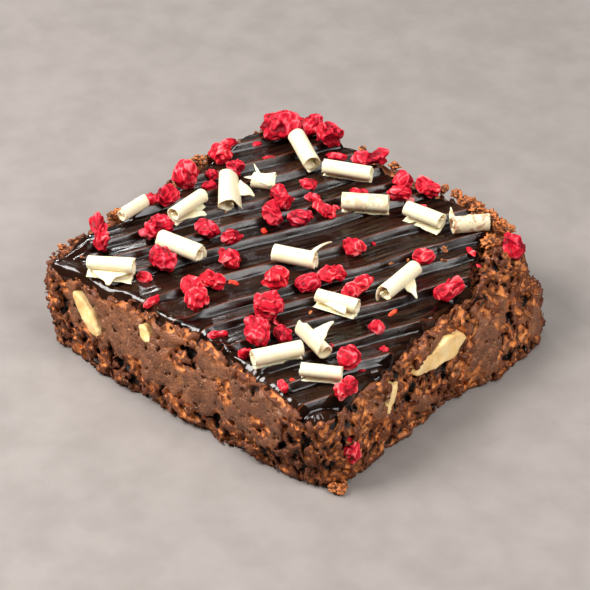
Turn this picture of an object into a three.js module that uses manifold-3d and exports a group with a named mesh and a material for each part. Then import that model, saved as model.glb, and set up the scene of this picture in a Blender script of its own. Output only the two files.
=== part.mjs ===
// A square of chocolate brownie cut from a tray bake. A craggy block of cake carries a combed spread of dark
// chocolate icing, and white chocolate curls and pieces of freeze-dried raspberry lie scattered over it.
// White chocolate chunks show in pockets of the cut sides. Millimetres, +Z up, origin under the middle.
import * as THREE from "three";
import { mergeVertices } from "three/addons/utils/BufferGeometryUtils.js";
import Module from "manifold-3d";

const wasm = await Module();
wasm.setup();

// Driving dimensions
const CAKE_TOP = 20.4;
const ICING_MEAN = 1.9;
const BODY_GAP = 0.45;
const REST_GAP = 0.3;
const FOOT_INSET = 0.8;
const FOOT_HEIGHT = 0.9;
const WALL_BULGE = 1.2;
const WALL_CRAG = 0.9;
const RIM_CRAG = 3.4;
const CORNER_DROOP = 1.8;
const DROOP_REACH = 15;
const FRONT_CORNER = new THREE.Vector2(41, -42);
const STROKE_TURN = THREE.MathUtils.degToRad(66);
const STROKE_HEIGHT = 1.0;
const STROKE_DROP = 1.3;
const CURL_WALL = 0.55;
const CHUNK_DEPTH = 4;

// Fineness of the faceted surfaces
const COLUMNS = 128;
const WALL_ROWS = 11;
const STROKE_STEPS = 13;
const CURL_STEPS = 14;

// Outlines, anticlockwise from the front left corner: the foot on the table, the rim of the cake, and the
// edge of the icing. Points with the same place in the three lists lie above each other.
const FOOT = [
  [-41, -39], [-33, -40], [-25, -41], [-16, -42], [-7, -42], [2, -42], [10, -42], [19, -42], [28, -42],
  [36, -41], [41, -37], [43, -29], [42, -18], [42, -6], [42, 5], [45, 14], [45, 23], [44, 32], [40, 38],
  [31, 41], [19, 42], [7, 42], [-7, 43], [-20, 42], [-32, 42], [-40, 39], [-43, 30], [-44, 18], [-43, 5],
  [-43, -8], [-44, -20], [-44, -31],
];
const RIM = [
  [-41, -40], [-34, -40], [-25, -40.5], [-17, -39.5], [-7, -39.5], [2, -38.5], [9, -40], [18, -42],
  [27, -43], [36, -43.5], [40.5, -41], [41, -32], [41, -20], [40.5, -9], [40, 3], [40, 13], [38, 22],
  [36, 31], [31, 38], [24, 40], [14, 41], [4, 41], [-7, 42], [-20, 42], [-31, 42], [-41, 40], [-43, 30],
  [-44.5, 18], [-44, 5], [-43, -8], [-44, -20], [-44, -31],
];
const ICING = [
  [-41, -40], [-34, -39.5], [-25, -40], [-17, -38.5], [-7, -39], [2, -38], [9, -39.5], [18, -41],
  [27, -42], [36, -43], [40, -41], [39.5, -32], [39.5, -20], [38, -8], [36.5, 4], [37, 13], [32, 22],
  [28, 30], [25, 36], [20, 38], [12, 38.5], [4, 37.5], [-7, 38], [-20, 41], [-30, 41], [-39, 39.5],
  [-42, 30], [-43.5, 18], [-42, 5], [-41.5, -8], [-42.5, -20], [-42, -31],
];

// Crests of the combing strokes, as places across the strokes
const CRESTS = [-47, -38, -31, -23, -16, -9, 1.5, 11, 17, 25, 34.5, 42, 49];

// White chocolate chunks in the cut sides: side, place along it, height, length, width and slant in degrees
const CHUNKS = [
  ["front", -28, 14.8, 11.5, 3.0, -40],
  ["front", -11, 17.5, 3.8, 1.6, -38],
  ["right", -2.6, 15.8, 18, 4.4, -8],
  ["right", -20.2, 15.0, 7, 1.7, 45],
  ["back", 14, 12, 10, 3.2, 20],
  ["left", 8, 10.5, 8, 2.8, -30],
];

// White chocolate curls: place, length, radius at the two ends, turn and tilt in degrees, rolled turns, the
// place where the outer edge ends, and how far that edge stands off
const CURLS = [
  [-26.4, -34.7, 11.1, 2.1, 2.6, 32, 0, 1.2, 215, 1.6],
  [-19.7, -19.4, 11.7, 2.5, 2.6, 7, 0, 1.3, 300, 0.3],
  [-29, -6.5, 10.6, 2.2, 2.3, 91, 0, 1.3, 250, 0.8],
  [-26.9, 4.1, 10.8, 2.1, 2.7, -47, 12, 1.15, 330, 1.5],
  [-24.5, 14.5, 6.5, 2.1, 2.1, 30, 0, 0.45, 60, 0],
  [-24.2, 28.3, 10.8, 2.6, 2.6, -28, 10, 1.2, 250, 0.2],
  [-11.1, 28.7, 12.4, 2.3, 2.3, 24, 0, 1.25, 260, 0.3],
  [0.7, 21.1, 11.2, 2.6, 2.6, 34, 0, 1.2, 250, 0.2],
  [14.1, 25.8, 10, 2.4, 2.5, 5, 0, 1.4, 230, 0.8],
  [23.5, 30.6, 9, 2.5, 2.5, 54, 3, 1.3, 100, 0.4],
  [2.7, -6.1, 10.4, 2.5, 2.5, 22, 0, 1.3, 280, 0.2],
  [20.1, -12.2, 10.3, 2.2, 2.4, 15, 0, 1.2, 200, 0.8],
  [26.6, 1.6, 12.6, 2.3, 2.3, 94, 0, 1.15, 300, 1.2],
  [24.7, -25.4, 10.2, 2.1, 2.2, -19, 0, 1.2, 100, 0.9],
  [22.8, -35.1, 11.6, 2.4, 2.3, 60, 0, 1.25, 260, 0.4],
  [32.9, -33, 9.6, 2.1, 2.1, 31, 0, 1.2, 240, 0.4],
  [-39.4, -14.2, 8, 1.9, 1.9, 88, 0, 1.3, 80, 0.3],
];

// Larger pieces of raspberry: place, length, width, height and turn in degrees
const BERRIES = [
  [-38, -26, 12.5, 5.2, 5.2, 137], [-36.4, -5.9, 5.8, 5.2, 5.2, 20], [-37.8, 2.2, 6, 5.6, 7.2, 70],
  [-39.4, 16.2, 5.2, 4.8, 5.2, 30], [-32.8, 14, 4.2, 3.8, 3.9, 0], [-29, -16.6, 7.8, 6, 5.4, 75],
  [-19.5, -25.2, 7, 5, 4.8, -15], [-20.5, -9.4, 6.2, 4.4, 3.6, 10], [-13.9, -8.4, 5.4, 4.3, 3.6, 40],
  [-9.3, -14.7, 6.6, 4.6, 4, -10], [-6.6, -29.1, 10.5, 6.4, 5.4, -32], [-6.6, -23.2, 5.6, 4.6, 3.9, 20],
  [14, -31.6, 9.4, 6, 4.8, -44], [10.1, -23.5, 6.8, 6.2, 5.2, 60], [17.7, -27.6, 4.2, 3.6, 3.4, 10],
  [4.3, -14.7, 6.3, 4.9, 4.5, 50], [9.9, -10.3, 5.2, 4.2, 4, 50], [12.1, -4.2, 6.4, 5, 4.4, 55],
  [8.7, 7.1, 5.6, 4.6, 4.2, 20], [19.4, -4.3, 9, 5, 4.8, 85], [23, 14.7, 5.2, 4, 3.5, 40],
  [35.1, 8.4, 8.4, 5.2, 4.8, 88], [34.8, -26, 5.2, 4.8, 5.4, 20], [40, -33.1, 6, 4.2, 4.2, 95],
  [-16.4, 11.3, 7.8, 4.4, 4.8, -35], [-13.2, 4.3, 8.2, 4.8, 5, -34], [-7.3, 7.4, 5.6, 3.9, 3.4, 45],
  [-6.3, 14.9, 7.4, 3.8, 3.4, -10], [-35.5, 32.7, 9.4, 7.6, 6.8, 40], [-30.9, 39.3, 6, 4.8, 4.8, 80],
  [-24, 37.9, 7, 5.6, 5.4, 0], [-11.1, 37.4, 8.8, 5.2, 4.4, 60], [0.7, 34.7, 5.4, 4.5, 4.5, 0],
  [7, 36.2, 7.4, 4.6, 4.6, -6], [3.6, 30.2, 5.4, 3.5, 3.3, 35],
];

// Small flakes of raspberry that stick to the icing: place, length, width, height and turn in degrees
const FLAKES = [
  [-40, -7.6, 3.4, 3, 3.2, 0], [-33.5, 5.6, 4, 2.8, 2.8, 30], [-36.6, 9.6, 3.6, 2.6, 2.4, 10],
  [-42, 21.5, 4.6, 2.6, 2.4, 60], [-20.3, -30.5, 3.6, 2.8, 2.4, 20], [-13, -36, 5.4, 2.2, 2, 98],
  [6, -35.5, 4.6, 2.2, 1.8, 49], [15.5, -37.6, 3.4, 2.8, 3.4, 100], [31.3, -12.5, 3.4, 3, 3.2, 60],
  [-16.2, 20.7, 4.2, 3, 2.6, 30], [-12, 17.6, 3.8, 2.4, 2.2, 10], [-5.5, 26.3, 4.4, 1.8, 2, 32],
  [-18.6, 34, 5.4, 2.6, 2.4, 25], [29, 24, 3.4, 1.6, 1.6, -20], [28.5, -40, 4, 2.2, 2.2, -30],
  [-12, 0.4, 1.8, 1.6, 1.4, 0], [-4.2, -18.8, 2.8, 1.6, 1.4, 20], [36.8, -16.4, 2.2, 1.8, 1.4, 0],
  [-31, 24, 3.4, 1.4, 1, 50], [-38, 27.5, 2.6, 1.8, 1.4, 50],
];

// The piece of raspberry stuck low on the right side: place along it, height, and its size
const LOW_BERRY = { place: -34, height: 9, long: 5, wide: 4, deep: 2.8 };

// Knobs of cake that stand higher than the rest of the rim: share of the outline and extra height
const KNOBS = [[16.6 / 32, 2.2], [19.6 / 32, 1], [22.4 / 32, 1.2], [29.4 / 32, 0.8]];

const cakeLook = new THREE.MeshStandardMaterial({ color: 0x6b4630, roughness: 0.95, metalness: 0 });
const icingLook = new THREE.MeshStandardMaterial({ color: 0x2a1811, roughness: 0.3, metalness: 0 });
const curlLook = new THREE.MeshStandardMaterial({ color: 0xf3ead0, roughness: 0.5, metalness: 0 });
const chunkLook = new THREE.MeshStandardMaterial({ color: 0xe3bf88, roughness: 0.6, metalness: 0 });
const berryLook = new THREE.MeshStandardMaterial({ color: 0xc81f33, roughness: 0.8, metalness: 0 });

// A repeatable draw between 0 and 1 for a whole-number place
function draw(x, y, z) {
  const wave = Math.sin(x * 127.1 + y * 311.7 + z * 74.7) * 43758.5453;
  return wave - Math.floor(wave);
}

// Smooth lumpy noise between -1 and 1
function lumps(x, y, z) {
  const cell = [Math.floor(x), Math.floor(y), Math.floor(z)];
  const part = [x - cell[0], y - cell[1], z - cell[2]].map((t) => t * t * (3 - 2 * t));
  let sum = 0;
  for (let corner = 0; corner < 8; corner += 1) {
    const step = [corner & 1, (corner >> 1) & 1, corner >> 2];
    const weights = step.map((on, axis) => (on ? part[axis] : 1 - part[axis]));
    sum += draw(cell[0] + step[0], cell[1] + step[1], cell[2] + step[2]) * weights[0] * weights[1] * weights[2];
  }
  return 2 * sum - 1;
}

// A closed curve through outline points
function loopThrough(points) {
  const spots = points.map(([x, y]) => new THREE.Vector3(x, y, 0));
  return new THREE.CatmullRomCurve3(spots, true, "centripetal");
}

const footLoop = loopThrough(FOOT);
const rimLoop = loopThrough(RIM);
const icingLoop = loopThrough(ICING);

// Outward level direction of a closed curve
function outward(loop, share) {
  const ahead = loop.getPoint((share + 0.004) % 1);
  const behind = loop.getPoint((share + 0.996) % 1);
  return new THREE.Vector3(ahead.y - behind.y, behind.x - ahead.x, 0).normalize();
}

// Height of the cake's top under the icing, lower at the front corner
function cakeLevel(x, y) {
  const away = Math.hypot(x - FRONT_CORNER.x, y - FRONT_CORNER.y);
  return CAKE_TOP - CORNER_DROOP * Math.exp(-((away / DROOP_REACH) ** 2));
}

// How rough a stretch of the cut side is: the front side is smooth near its top, the right side torn
function roughness(share, rise) {
  const onFront = share < 10 / 32 ? 1 : 0;
  return 1 - 0.75 * onFront * THREE.MathUtils.smoothstep(rise, 0.45, 0.7);
}

// A point of the cut side
function wallPoint(share, rise) {
  const foot = footLoop.getPoint(share);
  const rim = rimLoop.getPoint(share);
  const spot = foot.clone().lerp(rim, rise ** 1.3);
  const out = outward(footLoop, share);
  spot.addScaledVector(out, WALL_BULGE * Math.sin(Math.PI * Math.min(1, rise)));
  spot.z = rise * cakeLevel(rim.x, rim.y);
  return spot;
}

// The same point with its crags
function craggyPoint(share, rise) {
  const spot = wallPoint(share, rise);
  const coarse = lumps(spot.x / 4.2, spot.y / 4.2, spot.z / 3.4);
  const fine = lumps(spot.x / 1.9 + 40, spot.y / 1.9, spot.z / 1.7);
  const push = WALL_CRAG * roughness(share, rise) * (coarse + 0.6 * fine);
  return spot.addScaledVector(outward(footLoop, share), push);
}

// Height of the crags that stand up between the icing and the rim of the cake
function rimCrag(share, reach) {
  const spot = rimLoop.getPoint(share);
  let tall = RIM_CRAG * (0.5 + 0.5 * lumps(spot.x / 3.5 + 9, spot.y / 3.5, 2));
  for (const [place, extra] of KNOBS) tall += extra * Math.exp(-(((share - place) * 80) ** 2));
  return tall * THREE.MathUtils.smoothstep(reach, 1, 4);
}

// Joins rings of equal length into a closed body with a middle point at each end
function closedRings(rings, lowMiddle, topMiddle) {
  const count = rings[0].length;
  const spots = [lowMiddle, ...rings.flat(), topMiddle];
  const faces = [];
  const at = (ring, column) => 1 + ring * count + (column % count);
  for (let column = 0; column < count; column += 1) {
    faces.push(0, at(0, column + 1), at(0, column));
    for (let ring = 0; ring + 1 < rings.length; ring += 1) {
      faces.push(at(ring, column), at(ring, column + 1), at(ring + 1, column + 1));
      faces.push(at(ring, column), at(ring + 1, column + 1), at(ring + 1, column));
    }
    faces.push(at(rings.length - 1, column), at(rings.length - 1, column + 1), spots.length - 1);
  }
  return { spots, faces };
}

// A manifold solid from points and faces
function solidOf({ spots, faces }) {
  const vertProperties = new Float32Array(spots.flatMap((spot) => [spot.x, spot.y, spot.z]));
  return new wasm.Manifold(new wasm.Mesh({ numProp: 3, vertProperties, triVerts: new Uint32Array(faces) }));
}

// Points and faces of a three.js geometry with its shared vertices merged
function bodyOf(geometry) {
  geometry.deleteAttribute("normal");
  geometry.deleteAttribute("uv");
  const merged = mergeVertices(geometry, 1e-4);
  const place = merged.getAttribute("position");
  const spots = [];
  for (let i = 0; i < place.count; i += 1) {
    spots.push(new THREE.Vector3().fromBufferAttribute(place, i));
  }
  return { spots, faces: Array.from(merged.index.array) };
}

// A mesh from points and faces
function meshOf(name, { spots, faces }, material) {
  const geometry = new THREE.BufferGeometry().setFromPoints(spots);
  geometry.setIndex(faces);
  geometry.computeVertexNormals();
  const mesh = new THREE.Mesh(geometry, material);
  mesh.name = name;
  return mesh;
}

// A mesh from a manifold solid
function meshOfSolid(name, solid, material) {
  const { vertProperties, triVerts, numProp } = solid.getMesh();
  const spots = [];
  for (let i = 0; i < vertProperties.length; i += numProp) {
    spots.push(new THREE.Vector3(vertProperties[i], vertProperties[i + 1], vertProperties[i + 2]));
  }
  return meshOf(name, { spots, faces: Array.from(triVerts) }, material);
}

// The block of cake: a flat foot, craggy sides, a ring of crags round the icing, and a level top under it
function cakeBody() {
  const shares = Array.from({ length: COLUMNS }, (_, column) => column / COLUMNS);
  const rings = [];
  rings.push(shares.map((share) => {
    const spot = wallPoint(share, 0);
    return spot.addScaledVector(outward(footLoop, share), -FOOT_INSET).setZ(0);
  }));
  for (let row = 0; row <= WALL_ROWS; row += 1) {
    const low = FOOT_HEIGHT / CAKE_TOP;
    rings.push(shares.map((share) => craggyPoint(share, low + (1 - low) * (row / WALL_ROWS))));
  }
  rings.push(shares.map((share) => {
    const rim = rimLoop.getPoint(share);
    const edge = icingLoop.getPoint(share);
    const spot = rim.clone().lerp(edge, 0.45);
    return spot.setZ(cakeLevel(spot.x, spot.y) + rimCrag(share, rim.distanceTo(edge)));
  }));
  for (const scale of [1, 0.8, 0.45]) {
    rings.push(shares.map((share) => {
      const edge = icingLoop.getPoint(share);
      const step = Math.min(0.4, 0.5 * edge.distanceTo(rimLoop.getPoint(share)));
      const spot = edge.addScaledVector(outward(icingLoop, share), step).multiplyScalar(scale);
      return spot.setZ(cakeLevel(spot.x, spot.y));
    }));
  }
  return closedRings(rings, new THREE.Vector3(0, 0, 0), new THREE.Vector3(0, 0, CAKE_TOP));
}

// The share of the outline at which a side of the cake has a given place along it
const SIDES = {
  front: { from: 0, to: 10 / 32, axis: "x" },
  right: { from: 10 / 32, to: 18 / 32, axis: "y" },
  back: { from: 18 / 32, to: 25 / 32, axis: "x" },
  left: { from: 25 / 32, to: 1, axis: "y" },
};
function shareAlong(side, place, rise) {
  const { from, to, axis } = SIDES[side];
  let low = from;
  let high = to;
  const climbs = wallPoint(to - 0.001, rise)[axis] > wallPoint(from, rise)[axis];
  for (let i = 0; i < 24; i += 1) {
    const middle = (low + high) / 2;
    const below = wallPoint(middle, rise)[axis] < place;
    if (below === climbs) low = middle;
    else high = middle;
  }
  return (low + high) / 2;
}

// The frame of a place on a cut side: X along the side, Y up it and Z out of it
function sideFrame(side, place, height) {
  const rise = height / CAKE_TOP;
  const share = shareAlong(side, place, rise);
  const spot = wallPoint(share, rise);
  const up = wallPoint(share, rise + 0.1).sub(wallPoint(share, rise - 0.1)).normalize();
  const out = outward(footLoop, share);
  out.addScaledVector(up, -out.dot(up)).normalize();
  const along = new THREE.Vector3().crossVectors(up, out);
  return new THREE.Matrix4().makeBasis(along, up, out).setPosition(spot);
}

// A broken chunk: a pointed, uneven outline, its flat face at the cut side
function chunkBody([side, place, height, length, width, slant], number, grow) {
  const points = [];
  const corners = 10;
  for (let i = 0; i < corners; i += 1) {
    const angle = (i / corners) * 2 * Math.PI;
    const uneven = 1 + 0.22 * lumps(i * 1.7, number * 5, 3);
    const across = (width / 2) * Math.sin(angle) * uneven;
    const along = (length / 2) * Math.cos(angle) * (1 - 0.08 * Math.abs(Math.sin(angle)));
    points.push(new THREE.Vector2(along, across));
  }
  const centre = new THREE.Vector2();
  const outline = points.map((point, i) => {
    const before = points[(i + corners - 1) % corners];
    const after = points[(i + 1) % corners];
    const way = new THREE.Vector2(after.y - before.y, before.x - after.x).normalize();
    return point.clone().addScaledVector(way, grow).rotateAround(centre, THREE.MathUtils.degToRad(slant));
  });
  const reach = grow > 0 ? 3 : 0.25;
  const depth = CHUNK_DEPTH + reach + grow;
  const geometry = new THREE.ExtrudeGeometry(new THREE.Shape(outline), { depth, bevelEnabled: false });
  geometry.translate(0, 0, reach - depth);
  geometry.applyMatrix4(sideFrame(side, place, height));
  return bodyOf(geometry);
}

// Height of a combing stroke across its run: it climbs slowly to a crest and drops steeply behind it
function strokeHeight(across) {
  for (let i = 0; i + 1 < CRESTS.length; i += 1) {
    const from = CRESTS[i];
    const to = CRESTS[i + 1];
    if (across < from || across >= to) continue;
    const on = across - from;
    if (on < STROKE_DROP) return STROKE_HEIGHT * (0.5 - on / STROKE_DROP);
    const climb = (on - STROKE_DROP) / (to - from - STROKE_DROP);
    return STROKE_HEIGHT * (climb ** 1.6 - 0.5);
  }
  return 0;
}

// Places along and across the strokes, as points on the table
function strokePoint(along, across) {
  const x = along * Math.cos(STROKE_TURN) + across * Math.sin(STROKE_TURN);
  const y = along * Math.sin(STROKE_TURN) - across * Math.cos(STROKE_TURN);
  return new THREE.Vector3(x, y, 0);
}

// Top of the icing away from its edge
function icingTop(x, y) {
  const across = x * Math.sin(STROKE_TURN) - y * Math.cos(STROKE_TURN);
  return cakeLevel(x, y) + BODY_GAP + ICING_MEAN + strokeHeight(across);
}

// Rows across the strokes: the crests, the foot behind each and the middle of each climb
function strokeRows() {
  const rows = [];
  CRESTS.forEach((crest, i) => {
    const foot = crest + STROKE_DROP;
    const next = CRESTS[i + 1] ?? crest + 4;
    rows.push(crest, foot, foot + (next - foot) * 0.55);
  });
  return rows;
}

// The run of a row inside the icing's outline
function rowRun(across, outline) {
  let low = Infinity;
  let high = -Infinity;
  outline.forEach((spot, i) => {
    const next = outline[(i + 1) % outline.length];
    if ((spot.across - across) * (next.across - across) > 0) return;
    const share = (across - spot.across) / (next.across - spot.across || 1);
    const along = spot.along + share * (next.along - spot.along);
    low = Math.min(low, along);
    high = Math.max(high, along);
  });
  return [low, high];
}

// The spread of icing: rows of points across the strokes, over a flat underside just clear of the cake
function icingBody() {
  const outline = icingLoop.getPoints(256).map((spot) => ({
    along: spot.x * Math.cos(STROKE_TURN) + spot.y * Math.sin(STROKE_TURN),
    across: spot.x * Math.sin(STROKE_TURN) - spot.y * Math.cos(STROKE_TURN),
  }));
  const least = Math.min(...outline.map((spot) => spot.across)) + 0.6;
  const most = Math.max(...outline.map((spot) => spot.across)) - 0.6;
  const rows = [least, least + 2, ...strokeRows().filter((row) => row > least + 3 && row < most - 3), most - 2, most];
  const spots = [];
  const width = STROKE_STEPS + 1;
  const lip = 1.1;
  for (const top of [0, 1]) {
    rows.forEach((across, row) => {
      const [low, high] = rowRun(across, outline);
      for (let step = 0; step < width; step += 1) {
        const inner = (step - 1) / (width - 3);
        const margin = Math.min(lip, (high - low) / 4);
        let along = low + margin + inner * (high - low - 2 * margin);
        if (step === 0) along = low;
        if (step === width - 1) along = high;
        const spot = strokePoint(along, across);
        const rim = step === 0 || step === width - 1 || row === 0 || row === rows.length - 1;
        const under = cakeLevel(spot.x, spot.y) + BODY_GAP;
        const over = rim ? under + 0.55 * ICING_MEAN : icingTop(spot.x, spot.y);
        spots.push(spot.setZ(top ? over : under));
      }
    });
  }
  const layer = rows.length * width;
  const at = (top, row, step) => top * layer + row * width + step;
  const faces = [];
  const quad = (a, b, c, d) => faces.push(a, b, c, a, c, d);
  for (let row = 0; row + 1 < rows.length; row += 1) {
    for (let step = 0; step + 1 < width; step += 1) {
      quad(at(1, row, step), at(1, row + 1, step), at(1, row + 1, step + 1), at(1, row, step + 1));
      quad(at(0, row, step), at(0, row, step + 1), at(0, row + 1, step + 1), at(0, row + 1, step));
    }
    quad(at(0, row, 0), at(0, row + 1, 0), at(1, row + 1, 0), at(1, row, 0));
    const end = width - 1;
    quad(at(0, row + 1, end), at(0, row, end), at(1, row, end), at(1, row + 1, end));
  }
  const last = rows.length - 1;
  for (let step = 0; step + 1 < width; step += 1) {
    quad(at(0, 0, step + 1), at(0, 0, step), at(1, 0, step), at(1, 0, step + 1));
    quad(at(0, last, step), at(0, last, step + 1), at(1, last, step + 1), at(1, last, step));
  }
  return { spots, faces };
}

// A wrinkled lump with its middle at the origin
function lumpBody([, , length, width, height, turn], seed, detail) {
  const body = bodyOf(new THREE.IcosahedronGeometry(1, detail));
  const wrinkle = detail > 0 ? 0.24 : 0.1;
  for (const spot of body.spots) {
    const waist = length > 1.6 * width ? 0.75 + 0.3 * Math.abs(spot.x) : 1;
    const swell = 1 + wrinkle * lumps(spot.x * 1.9 + seed * 7, spot.y * 1.9, spot.z * 1.9 + seed);
    const size = [(length / 2) * swell, (width / 2) * swell * waist, (height / 2) * swell * waist];
    spot.set(spot.x * size[0], spot.y * size[1], spot.z * size[2]);
    spot.applyAxisAngle(new THREE.Vector3(0, 0, 1), THREE.MathUtils.degToRad(turn));
  }
  return body;
}

// The piece of raspberry pressed into the right side
function lowBerryBody() {
  const { place, height, long, wide, deep } = LOW_BERRY;
  const body = lumpBody([0, 0, wide, long, deep, 0], 91, 1);
  const frame = sideFrame("right", place, height);
  for (const spot of body.spots) spot.applyMatrix4(frame);
  return body;
}

// A rolled curl of thin chocolate lying level along X, its middle at the origin
function curlBody([, , length, radiusOne, radiusTwo, turn, tilt, turns, start, flare]) {
  const radius = (radiusOne + radiusTwo) / 2;
  const from = THREE.MathUtils.degToRad(start);
  const outer = [];
  const inner = [];
  for (let step = 0; step <= CURL_STEPS; step += 1) {
    const share = step / CURL_STEPS;
    const angle = from + share * turns * 2 * Math.PI;
    const flap = flare * Math.max(0, 1 - share * turns * 5) ** 2;
    const reach = radius - share * turns * (CURL_WALL + 0.35) + flap;
    const way = new THREE.Vector2(Math.cos(angle), Math.sin(angle));
    outer.push(way.clone().multiplyScalar(reach));
    inner.push(way.clone().multiplyScalar(reach - CURL_WALL));
  }
  const shape = new THREE.Shape([...outer, ...inner.reverse()]);
  const geometry = new THREE.ExtrudeGeometry(shape, { depth: length, bevelEnabled: false });
  geometry.translate(0, 0, -length / 2);
  const body = bodyOf(geometry);
  const lie = new THREE.Matrix4().makeRotationZ(THREE.MathUtils.degToRad(turn));
  lie.multiply(new THREE.Matrix4().makeRotationY(THREE.MathUtils.degToRad(tilt)));
  lie.multiply(new THREE.Matrix4().makeBasis(
    new THREE.Vector3(0, 1, 0), new THREE.Vector3(0, 0, 1), new THREE.Vector3(1, 0, 0)));
  for (const spot of body.spots) {
    const taper = spot.z < 0 ? radiusOne / radius : radiusTwo / radius;
    spot.set(spot.x * taper, spot.y * taper, spot.z);
    spot.applyMatrix4(lie);
  }
  return body;
}

// Highest point of a body over a place, or nothing where it isn't there
function topOver(body, x, y) {
  let top = -Infinity;
  const { spots, faces } = body;
  for (let i = 0; i < faces.length; i += 3) {
    const [a, b, c] = [spots[faces[i]], spots[faces[i + 1]], spots[faces[i + 2]]];
    const area = (b.x - a.x) * (c.y - a.y) - (c.x - a.x) * (b.y - a.y);
    if (area < 1e-6) continue;
    const v = ((x - a.x) * (c.y - a.y) - (c.x - a.x) * (y - a.y)) / area;
    const w = ((b.x - a.x) * (y - a.y) - (x - a.x) * (b.y - a.y)) / area;
    if (v < -0.02 || w < -0.02 || v + w > 1.02) continue;
    top = Math.max(top, a.z + v * (b.z - a.z) + w * (c.z - a.z));
  }
  return top;
}

// Whether two bodies can meet in plan
function near(one, two) {
  const boxes = [one, two].map((body) => new THREE.Box3().setFromPoints(body.spots));
  const apart = (axis) => boxes[0].min[axis] > boxes[1].max[axis] || boxes[1].min[axis] > boxes[0].max[axis];
  return !apart("x") && !apart("y");
}

// Lowers a body over its place until it rests on the icing or on a piece laid before it
function layDown(body, [x, y], laid, sink) {
  for (const spot of body.spots) spot.add(new THREE.Vector3(x, y, 0));
  const close = laid.filter((other) => near(body, other));
  const { spots, faces } = body;
  let lift = -Infinity;
  for (let i = 0; i < faces.length; i += 3) {
    const [a, b, c] = [spots[faces[i]], spots[faces[i + 1]], spots[faces[i + 2]]];
    const middle = a.clone().add(b).add(c).divideScalar(3);
    const tried = [a, middle];
    for (const share of [0.25, 0.5, 0.75]) tried.push(a.clone().lerp(b, share), b.clone().lerp(c, share));
    for (const spot of tried) {
      let ground = icingTop(spot.x, spot.y);
      for (const other of close) ground = Math.max(ground, topOver(other, spot.x, spot.y));
      lift = Math.max(lift, ground + sink - spot.z);
    }
  }
  for (const spot of spots) spot.z += lift;
  laid.push(body);
  return body;
}

// Two figures for a name
function two(number) {
  return String(number).padStart(2, "0");
}

const brownie = new THREE.Group();

// Cake with its pockets, and the chunks in them
let cake = solidOf(cakeBody());
CHUNKS.forEach((chunk, i) => {
  cake = cake.subtract(solidOf(chunkBody(chunk, i, REST_GAP)));
  brownie.add(meshOf(`white_chunk_${i + 1}`, chunkBody(chunk, i, 0), chunkLook));
});
cake = cake.add(solidOf(lowBerryBody()));
brownie.add(meshOfSolid("brownie_cake", cake, cakeLook));

// Icing with the small flakes that stick to it
const laid = [];
let icing = solidOf(icingBody());
FLAKES.forEach((flake, i) => {
  const body = layDown(lumpBody(flake, i + 50, 0), flake, [], -0.5);
  laid.push(body);
  icing = icing.add(solidOf(body));
});
brownie.add(meshOfSolid("chocolate_icing", icing, icingLook));

// Curls, then the pieces of raspberry among and on them
CURLS.forEach((curl, i) => {
  brownie.add(meshOf(`white_curl_${two(i + 1)}`, layDown(curlBody(curl), curl, laid, REST_GAP), curlLook));
});
BERRIES.forEach((berry, i) => {
  const body = layDown(lumpBody(berry, i, 1), berry, laid, REST_GAP);
  brownie.add(meshOf(`raspberry_${two(i + 1)}`, body, berryLook));
});

// The origin goes under the middle of the whole piece
const whole = new THREE.Box3().setFromObject(brownie);
const middle = whole.getCenter(new THREE.Vector3());
brownie.position.set(-middle.x, -middle.y, 0);

export default brownie;
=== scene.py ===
"""A square of chocolate brownie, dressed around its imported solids: open crumb with smooth fudge in it,
combed dark icing, white chocolate curls and chunks, and pieces of dried raspberry. Forms are worked out in
millimetres in the frame of the solids, and every mesh is written in metres."""

import math
from concurrent.futures import ThreadPoolExecutor

import bmesh
import bpy
import numpy as np
import openvdb
from mathutils import Matrix, Vector


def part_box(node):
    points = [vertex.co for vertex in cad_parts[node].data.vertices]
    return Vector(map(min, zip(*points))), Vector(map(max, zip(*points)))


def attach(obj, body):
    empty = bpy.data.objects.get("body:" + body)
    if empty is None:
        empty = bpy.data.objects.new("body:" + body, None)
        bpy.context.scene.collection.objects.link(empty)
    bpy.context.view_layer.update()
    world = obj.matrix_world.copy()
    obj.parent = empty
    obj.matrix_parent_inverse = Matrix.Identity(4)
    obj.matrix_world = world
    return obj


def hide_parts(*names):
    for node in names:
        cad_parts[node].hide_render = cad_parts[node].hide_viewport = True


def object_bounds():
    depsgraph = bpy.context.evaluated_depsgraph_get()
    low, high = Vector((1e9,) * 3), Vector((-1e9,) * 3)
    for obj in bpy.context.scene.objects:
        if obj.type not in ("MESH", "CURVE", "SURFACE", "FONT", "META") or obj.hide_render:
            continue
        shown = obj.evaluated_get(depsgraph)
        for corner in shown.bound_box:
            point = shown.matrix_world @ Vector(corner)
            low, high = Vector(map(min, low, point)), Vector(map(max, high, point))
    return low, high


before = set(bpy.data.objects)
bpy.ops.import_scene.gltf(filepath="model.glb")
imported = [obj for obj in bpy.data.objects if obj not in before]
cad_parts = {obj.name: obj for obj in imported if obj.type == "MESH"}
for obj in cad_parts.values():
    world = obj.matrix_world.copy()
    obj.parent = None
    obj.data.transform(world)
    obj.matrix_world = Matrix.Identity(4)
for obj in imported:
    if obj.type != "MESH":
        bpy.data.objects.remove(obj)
CAD_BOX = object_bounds()
MM = 0.001

# The solids' drawing was shifted by this much to put the origin under the middle
SHIFT = np.array([0.181, -0.139, 0.0])

# The cake: its top, how deep its relief goes, how much its rim stands up round the icing, and its mesh
CAKE_TOP = 20.4
CORNER_DROOP = 1.8
DROOP_REACH = 15.0
FRONT_CORNER = (41.0, -42.0)
CRUMB_DEPTH = 2.6
RIM_RISE = 1.5
CRUMB_VOXEL = 0.31
CRUMB_BAND = 9
CAKE_TRIANGLES = 190000

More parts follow.
